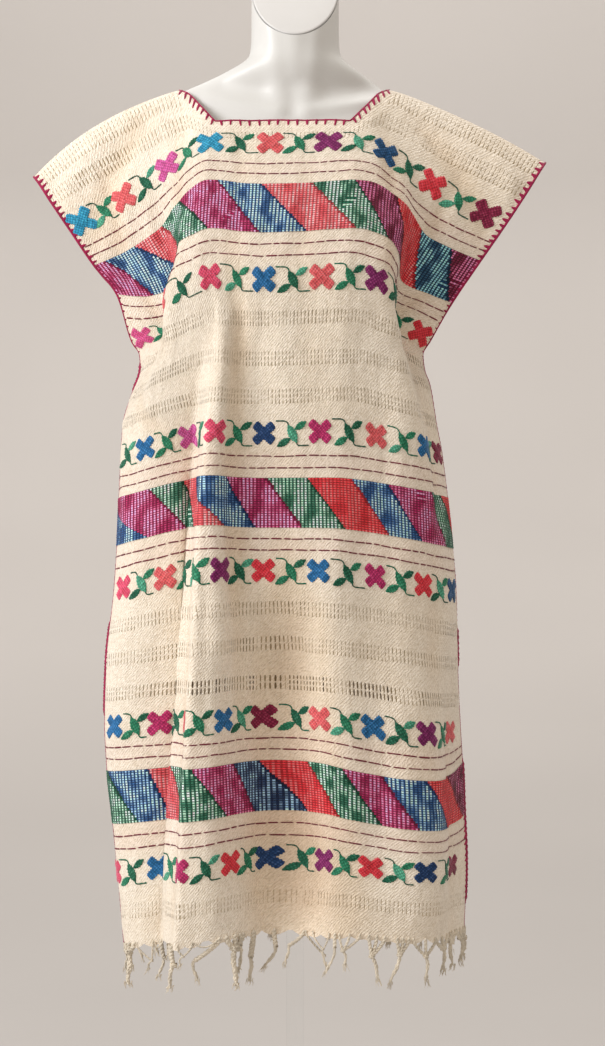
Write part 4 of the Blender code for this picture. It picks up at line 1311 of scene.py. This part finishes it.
def add_armhole_stitches(side):
    v = np.linspace(0, ARMHOLE, 120)
    edge = np.full_like(v, side * HALF_WIDTH)
    ring = np.concatenate([CLOTHS[FRONT].at(edge, v), CLOTHS[BACK].at(edge, v[::-1])[1:-1]])
    bold = smooth((BOLD_ARMHOLE - np.concatenate([v, v[::-1][1:-1]])) / 0.05)

    def stitches(face):
        draw, count = random.Random(91 + 2 * face + side), round(ARMHOLE / ARM_STITCH)
        s = np.linspace(0, 1, 5)
        for k in range(count):
            at = (k + 0.5) * ARMHOLE / count + draw.uniform(-0.0008, 0.0008)
            size = 0.7 + 0.75 * float(smooth((BOLD_ARMHOLE - at) / 0.05))
            reach = draw.uniform(0.0046, 0.0062) * size
            half = np.array([0.0021, 0.0017, 0.0013, 0.0010, 0.0004]) * draw.uniform(0.85, 1.15) * size
            yield (side * (HALF_WIDTH + 0.0004 - reach * s), at + draw.uniform(-0.001, 0.001) * s, half,
                   [0.0013, 0.0013, 0.0012, 0.0010, 0.0004])

    name = SIDE_NAMES[side]
    rope = tube(ring, EDGE_RADIUS * (0.75 + 0.7 * bold), 8, closed=True)
    return add_edging("armhole_blanket_stitch_" + name, "armhole_edging_" + name, name + "_armhole_thread",
                      rope, stitches)


def add_seam_stitches(side):
    v = np.linspace(ARMHOLE, CLOTH_LENGTH, 260)
    edge = np.full_like(v, side * HALF_WIDTH)
    line = (CLOTHS[FRONT].at(edge, v) + CLOTHS[BACK].at(edge, v)) / 2
    bold = sum(smooth((v - a) / 0.012) * smooth((b - v) / 0.012) for a, b in BOLD_SEAM[side])

    def stitches(face):
        draw, at = random.Random(17 + 2 * face + side), ARMHOLE + SEAM_END
        s = np.linspace(0, 1, 5)
        while at < CLOTH_LENGTH - SEAM_END:
            size = 0.60 + 1.25 * float(np.interp(at, v, bold))
            reach = draw.uniform(0.0034, 0.0050) * size
            half = np.array([0.0013, 0.0014, 0.0012, 0.0008, 0.0003]) * size
            height = np.array([0.0016, 0.0015, 0.0012, 0.0008, 0.0003]) * size
            yield side * (HALF_WIDTH + 0.0004 - reach * s), at - face * 0.0022 * s, half, height
            at += draw.uniform(0.0062, 0.0084)

    name = SIDE_NAMES[side]
    rope = tube(line, 0.0007 + 0.0019 * bold, 6)
    return add_edging("side_seam_stitch_" + name, "side_seam_" + name, name + "_seam_thread", rope, stitches)


# Fringe of knotted warp ends

# Bundles are a little thicker than the table says; a thick one has a root in its middle too, and
# one with its ends this close has a single root.
THICKENED = 1.35
THICK_BUNDLE = 0.0022
SINGLE_ROOT = 0.006
FRAYED_ENDS = 6
LOOSE_PLIES = 3
FRINGE_INSET = 0.002
RIGHTWARD = np.array([1.0, 0.0, 0.0])


def add_fringe(face):
    cloth, name = CLOTHS[face], FACE_NAMES[face]
    mesh, draw = Gathered(), random.Random(2024 + face)
    limit = HALF_WIDTH - FRINGE_INSET

    def hang(u, aside, drop, out=0.0):
        """A point so far below the hem at u, to the right of it and out from it."""
        u, hem = np.asarray(min(max(u, -limit), limit)), np.asarray(CLOTH_LENGTH)
        return cloth.at(u, hem) + np.array([aside, 0, -drop]) + cloth.read(cloth.normals, u, hem) * out

    def fray(tip, way, thick):
        for _ in range(FRAYED_ENDS):
            start = tip + RIGHTWARD * draw.uniform(-1.1, 1.1) * thick
            lean = RIGHTWARD * draw.uniform(-0.45, 0.45) + np.array([0, draw.uniform(-0.3, 0.3), 0])
            reach = draw.uniform(0.003, 0.0065)
            path = [start - way * 0.004, start + way * reach * 0.4 + lean * 0.001, start + (way + lean) * reach]
            mesh.yarn(path, thick * 0.26, plies=1, step=0.003, taper=0.6, sides=4)

    def bind(centre, size):
        turn = np.linspace(0, 2 * math.pi * 2.2, 26)
        ring = [centre + np.array([math.cos(t), math.sin(t), (0.5 - t / 14) * 1.4]) * size for t in turn]
        mesh.yarn(ring, size * 0.55, step=0.0016, plies=1)

    for start, end, knot, drop, tail, length, thick in BUNDLES[face]:
        middle, thick = (start + end) / 2, thick * THICKENED
        centre = hang(middle, knot, drop, 0.001)
        roots = (start, end) if thick < THICK_BUNDLE else (start, middle, end)
        roots = (middle,) if end - start < SINGLE_ROOT else roots
        for root in roots:
            hem = hang(root, 0.0, 0.001, 0.0005)
            path = [hang(root, 0.0, -0.004), hem, hem * 0.45 + centre * 0.55 - np.array([0, 0, 0.0015]), centre]
            mesh.yarn(path, thick * (1.0 if len(roots) == 1 else 0.7), pitch=0.009, step=0.0018)
        if len(roots) > 1:
            bind(centre, thick * 0.9)
        # loose plies hanging together in a slack wave, their ends frayed
        curl = draw.uniform(0.0008, 0.0026) * draw.choice((-1, 1))
        path = [hang(middle, knot + (tail - knot) * t + curl * math.sin(t * 5.2), drop + (length - drop) * t,
                     0.001) for t in np.linspace(0, 1, 6)]
        slack = [draw.uniform(-1, 1) * 0.0012 for _ in range(LOOSE_PLIES)]
        for ply in range(LOOSE_PLIES):
            turn, spread = 2 * math.pi * ply / LOOSE_PLIES + middle * 90, 0.46 + 0.10 * ply
            loose = []
            for i, point in enumerate(path):
                way = RIGHTWARD * math.cos(turn + 2.6 * i) + np.array([0, math.sin(turn + 2.6 * i), 0])
                loose.append(point + way * thick * spread * (0.8 + 0.11 * i) + RIGHTWARD * slack[ply] * i / 5)
            mesh.yarn(loose, thick * 0.56, pitch=0.008, step=0.0022, taper=0.7)
        way = path[-1] - path[-2]
        fray(path[-1], way / np.linalg.norm(way), thick)
    # slack yarns looped from one bundle to the next
    for before, after in zip(BUNDLES[face], BUNDLES[face][1:]):
        start, end = before[1] + 0.002, after[0] - 0.002
        if 0.010 < end - start < 0.045 and draw.random() < 0.45:
            dip = draw.uniform(0.006, 0.010)
            mesh.yarn([hang(start + (end - start) * t, 0.0, -0.003 + dip * 4 * t * (1 - t), 0.0015)
                       for t in np.linspace(0, 1, 7)], 0.0012, step=0.002)
    return mesh.build(name + "_fringe", FRINGE_YARN, name + "_fringe_cotton", "fringe_" + name)


# The dress form and its stand

NECK_CUT_Z = 1.5610
NECK_CUT_SLOPE = 1.36
FORM_SIDES = 28
CAP_SIDES = 96
# Soft forms modelled on it, front (-1) or back (1): from and to (x, z), width, and how far they
# stand out.
FORM_DETAILS = table("""
face x1 z1 x2 z2 width out
-1 34 1530 12 1405 12 2.2
-1 -34 1530 -18 1405 12 2
-1 -3 1425 -3 1395 14 -2.4
-1 0 1540 0 1450 12 1.6
-1 -20 1398 -110 1418 8.5 3
-1 14 1398 105 1416 8.5 3
-1 -45 1428 -90 1436 12 -3
-1 42 1426 85 1434 12 -3
1 0 1560 0 1430 8 -1.8
1 -22 1570 -40 1440 14 1.8
1 22 1570 40 1440 14 1.8
""", plain="face")


def form_ring_at(left, right, front, back, square, sides):
    turn = 2 * np.pi * np.arange(sides) / sides
    cos, sin = np.cos(turn), np.sin(turn)
    x = np.sign(cos) * np.abs(cos) ** (2 / square) * np.where(cos > 0, right, left)
    y = np.sign(sin) * np.abs(sin) ** (2 / square) * np.where(sin > 0, back, front)
    return np.stack([x, y], axis=1)


def read_vertices(mesh, key):
    found = np.zeros(len(mesh.vertices) * 3)
    mesh.vertices.foreach_get(key, found)
    return found.reshape(-1, 3)


def add_form():
    points = []
    for z, *sizes in zip(*FORM_RINGS.values()):
        ring = form_ring_at(*sizes, FORM_SIDES)
        points += [(x, y, z) for x, y in ring]
    for share in (0.5, 0.96, 1.0):
        points += [(x, y, z + (NECK_CUT_Z + NECK_CUT_SLOPE * y - z) * share) for x, y in ring]
    faces = hoop_faces(len(points) // FORM_SIDES, FORM_SIDES).tolist()
    mesh = bpy.data.meshes.new("form_shell")
    mesh.from_pydata(points, [], faces + [list(reversed(range(FORM_SIDES)))])
    form = bpy.data.objects.new("form_shell", mesh)
    bpy.context.scene.collection.objects.link(form)
    round_off = form.modifiers.new("round", "SUBSURF")
    round_off.levels = round_off.render_levels = 2
    bpy.context.view_layer.update()
    dense = bpy.data.meshes.new_from_object(form.evaluated_get(bpy.context.evaluated_depsgraph_get()))
    form.modifiers.clear()
    form.data = dense
    places, normals = read_vertices(dense, "co"), read_vertices(dense, "normal")
    flat = places[:, [0, 2]]
    for face, x1, z1, x2, z2, width, out in zip(*FORM_DETAILS.values()):
        start, way = np.array([x1, z1]), np.array([x2 - x1, z2 - z1])
        share = np.clip((flat - start) @ way / (way @ way), 0, 1)
        off = np.linalg.norm(flat - start - share[:, None] * way, axis=1) / width
        facing = smooth(normals[:, 1] * face * 2.0)
        places += normals * (out * np.exp(-off * off) * facing)[:, None]
    dense.vertices.foreach_set("co", places.ravel())
    dense.polygons.foreach_set("use_smooth", [True] * len(dense.polygons))
    dense.update()
    dense.materials.clear()
    dense.materials.append(gloss_material("form_gloss_white", linear(223, 222, 219), 0.46, 0.56, 0.10))
    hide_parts("dress_form")
    return form


def add_cap():
    ring = form_ring_at(*[column[-1] for name, column in FORM_RINGS.items() if name != "z"], CAP_SIDES)
    middle = ring.mean(axis=0)
    points = []
    for shrink, lift in ((0.97, -0.0060), (0.985, -0.0020), (0.985, 0.0008), (0.975, 0.0018), (0.95, 0.0022),
                         (0.6, 0.0022), (0.0, 0.0022)):
        for x, y in middle + (ring - middle) * shrink:
            points.append((x, y - lift * 0.8, NECK_CUT_Z + NECK_CUT_SLOPE * y + lift * 0.59))
    gloss = gloss_material("cap_gloss_white", linear(223, 221, 219), 0.46, 0.56, 0.08)
    faces = hoop_faces(len(points) // CAP_SIDES, CAP_SIDES)
    return add_piece("neck_cap_plate", points, faces, gloss, "cap_gloss", "neck_cap", weld=True)


def add_turned(name, slot, node, material, corners, radius, sides=96, steps=4):
    """A profile of (radius, height) corners, each rounded off, turned about the axis."""
    profile = [corners[0]]
    for before, corner, after in zip(corners, corners[1:], corners[2:]):
        corner = np.array(corner, float)
        back, on = np.array(before) - corner, np.array(after) - corner
        r = min(radius, np.linalg.norm(back) / 2, np.linalg.norm(on) / 2)
        start, end = corner + back / np.linalg.norm(back) * r, corner + on / np.linalg.norm(on) * r
        for t in np.arange(steps + 1) / steps:
            profile.append(tuple(start * (1 - t) ** 2 + corner * 2 * t * (1 - t) + end * t * t))
    profile.append(corners[-1])
    points = []
    for k in range(sides):
        turn = 2 * math.pi * k / sides
        points += [(r * math.cos(turn), r * math.sin(turn), z) for r, z in profile]
    faces = grid_faces(sides + 1, len(profile))[..., TURNED].reshape(-1, 4) % len(points)
    return add_piece(name, points, faces, material, slot, node, weld=True)


def add_stand():
    low = FORM_RINGS["z"][0] - 0.0003
    bore, foot, rod = 0.0113, 0.0103, 0.011
    white = gloss_material("stand_white_paint", linear(212, 210, 206), 0.28, 0.42, 0.2)
    r, h = 0.180, 0.010
    base = ((0, 0), (r, 0), (r, h), (0, h))
    r, h = 0.024, foot + 0.045
    collar = ((bore, foot), (r * 1.4, foot), (r * 1.38, foot + 0.004), (r, foot + 0.009), (r, h), (bore, h),
              (bore, foot))
    r, h = 0.026, low - 0.030
    socket = ((bore, h), (r, h), (r, h + 0.006), (r * 0.95, h + 0.008), (r * 0.95, low), (bore, low), (bore, h))
    pole = ((0, foot), (rod, foot), (rod, low), (0, low))
    clear = acrylic_material("pole_acrylic")
    return [add_turned("base_plate", "base_white", "stand_base", white, base, 0.0024),
            add_turned("pole_collar_turned", "collar_white", "pole_collar", white, collar, 0.0022),
            add_turned("pole_socket_turned", "socket_white", "pole_socket", white, socket, 0.0018),
            add_turned("pole_rod", "pole_clear", "stand_pole", clear, pole, 0.0008)]


# Everything in its place

pieces = [add_form(), add_cap(), *add_stand()]
for face in (FRONT, BACK):
    cloth, fringe = add_cloth(face), add_fringe(face)
    trims = [add_flower_row(face, k, *row) for k, row in enumerate(flower_rows(face), 1)]
    trims += [add_band(face, k, *band) for k, band in enumerate(bands(face), 1)]
    trims.append(add_dashes(face))
    pieces += [cloth, fringe, *trims]
pieces.append(add_neck_stitches())
for side in (LEFT, RIGHT):
    pieces += [add_armhole_stitches(side), add_seam_stitches(side)]
for piece in pieces:
    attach(piece, "root")

# Camera, stage and light

VIEW_X, VIEW_Y, VIEW_Z = 0.00927, -3.3, 0.888
PIXEL = 0.00126
SENSOR = 24.0
lens = bpy.data.cameras.new("photo_view")
lens.sensor_fit = "VERTICAL"
lens.sensor_height = SENSOR
lens.lens = SENSOR * -VIEW_Y / (1046 * PIXEL)
camera = bpy.data.objects.new("photo_view", lens)
camera.location = VIEW_X, VIEW_Y, VIEW_Z
camera.rotation_euler = math.pi / 2, 0, 0
bpy.context.scene.collection.objects.link(camera)
bpy.context.scene.camera = camera


# The paper runs back from PAPER_NEAR and rises in a cove, COVE_DEEP from front to back and
# COVE_HIGH, which begins at COVE_Y: far enough back that a camera going round stays in front of it.
PAPER_NEAR = -8.0
PAPER_TOP = 9.0
PAPER_SIDE = 9.0
COVE_Y, COVE_DEEP, COVE_HIGH = 1.3, 5.2, 2.2


def add_stage():
    n = Nodes("stage_paper", 0.9, Specular_IOR_Level=0.1)
    tone = n.ramp(n.noise(n.place(0.7), detail=2), (0.3, linear(206, 202, 199)), (0.7, linear(211, 207, 204)))
    rise = n.add("SeparateXYZ", Vector=n.place(1.0)).outputs["Z"]
    tone = n.tint(1.0, tone, n.ramp(rise, (0.0, 0.86), (0.5, 1.0)))
    rough = n.ramp(n.noise(n.place(40)), (0.3, 0.86), (0.7, 0.94))
    paper = n.finish(tone, rough, n.noise(n.place(300)), 0.0001, 0.2)
    cove = [(COVE_Y + COVE_DEEP * math.sin(t), COVE_HIGH - COVE_HIGH * math.cos(t))
            for t in np.linspace(0, math.pi / 2, 40)]
    profile = [(PAPER_NEAR, 0.0), *cove, (COVE_Y + COVE_DEEP, PAPER_TOP)]
    points = [(x, y, z - 0.0004) for x in (-PAPER_SIDE, PAPER_SIDE) for y, z in profile]
    faces = grid_faces(2, len(profile))[..., TURNED].reshape(-1, 4)
    add_piece("stage_sweep", points, faces, paper)


def add_light(name, place, target, size, power, colour):
    light = bpy.data.lights.new(name, "AREA")
    light.shape = "RECTANGLE"
    light.size, light.size_y = size
    light.energy, light.color = power, colour
    obj = bpy.data.objects.new(name, light)
    obj.location = place
    x, y, z = np.array(target, float) - np.array(place, float)
    obj.rotation_euler = math.atan2(math.hypot(x, y), -z), 0, math.atan2(y, x) - math.pi / 2
    bpy.context.scene.collection.objects.link(obj)


add_stage()
add_light("key_left", (-3.2, -1.7, 2.6), (0, 0, 1.0), (1.6, 1.8), 130, (0.98, 0.99, 1.0))
add_light("soft_top", (0.9, 0.35, 3.6), (0.2, 0, 1.2), (1.8, 1.2), 22, (1.0, 0.99, 0.97))
add_light("fill_front", (0.8, -3.4, 2.3), (0, 0, 1.0), (2.4, 2.4), 13, (1.0, 0.97, 0.93))
add_light("paper_wash", (0.0, 3.4, 6.2), (0.2, 6.0, 1.8), (5.0, 1.2), 150, (1.0, 0.98, 0.96))
world = bpy.data.worlds.new("studio_air")
world.use_nodes = True
background = world.node_tree.nodes["Background"].inputs
background["Color"].default_value = (*linear(240, 229, 216), 1.0)
background["Strength"].default_value = 0.55
bpy.context.scene.world = world
bpy.context.scene.view_settings.view_transform = "Standard"
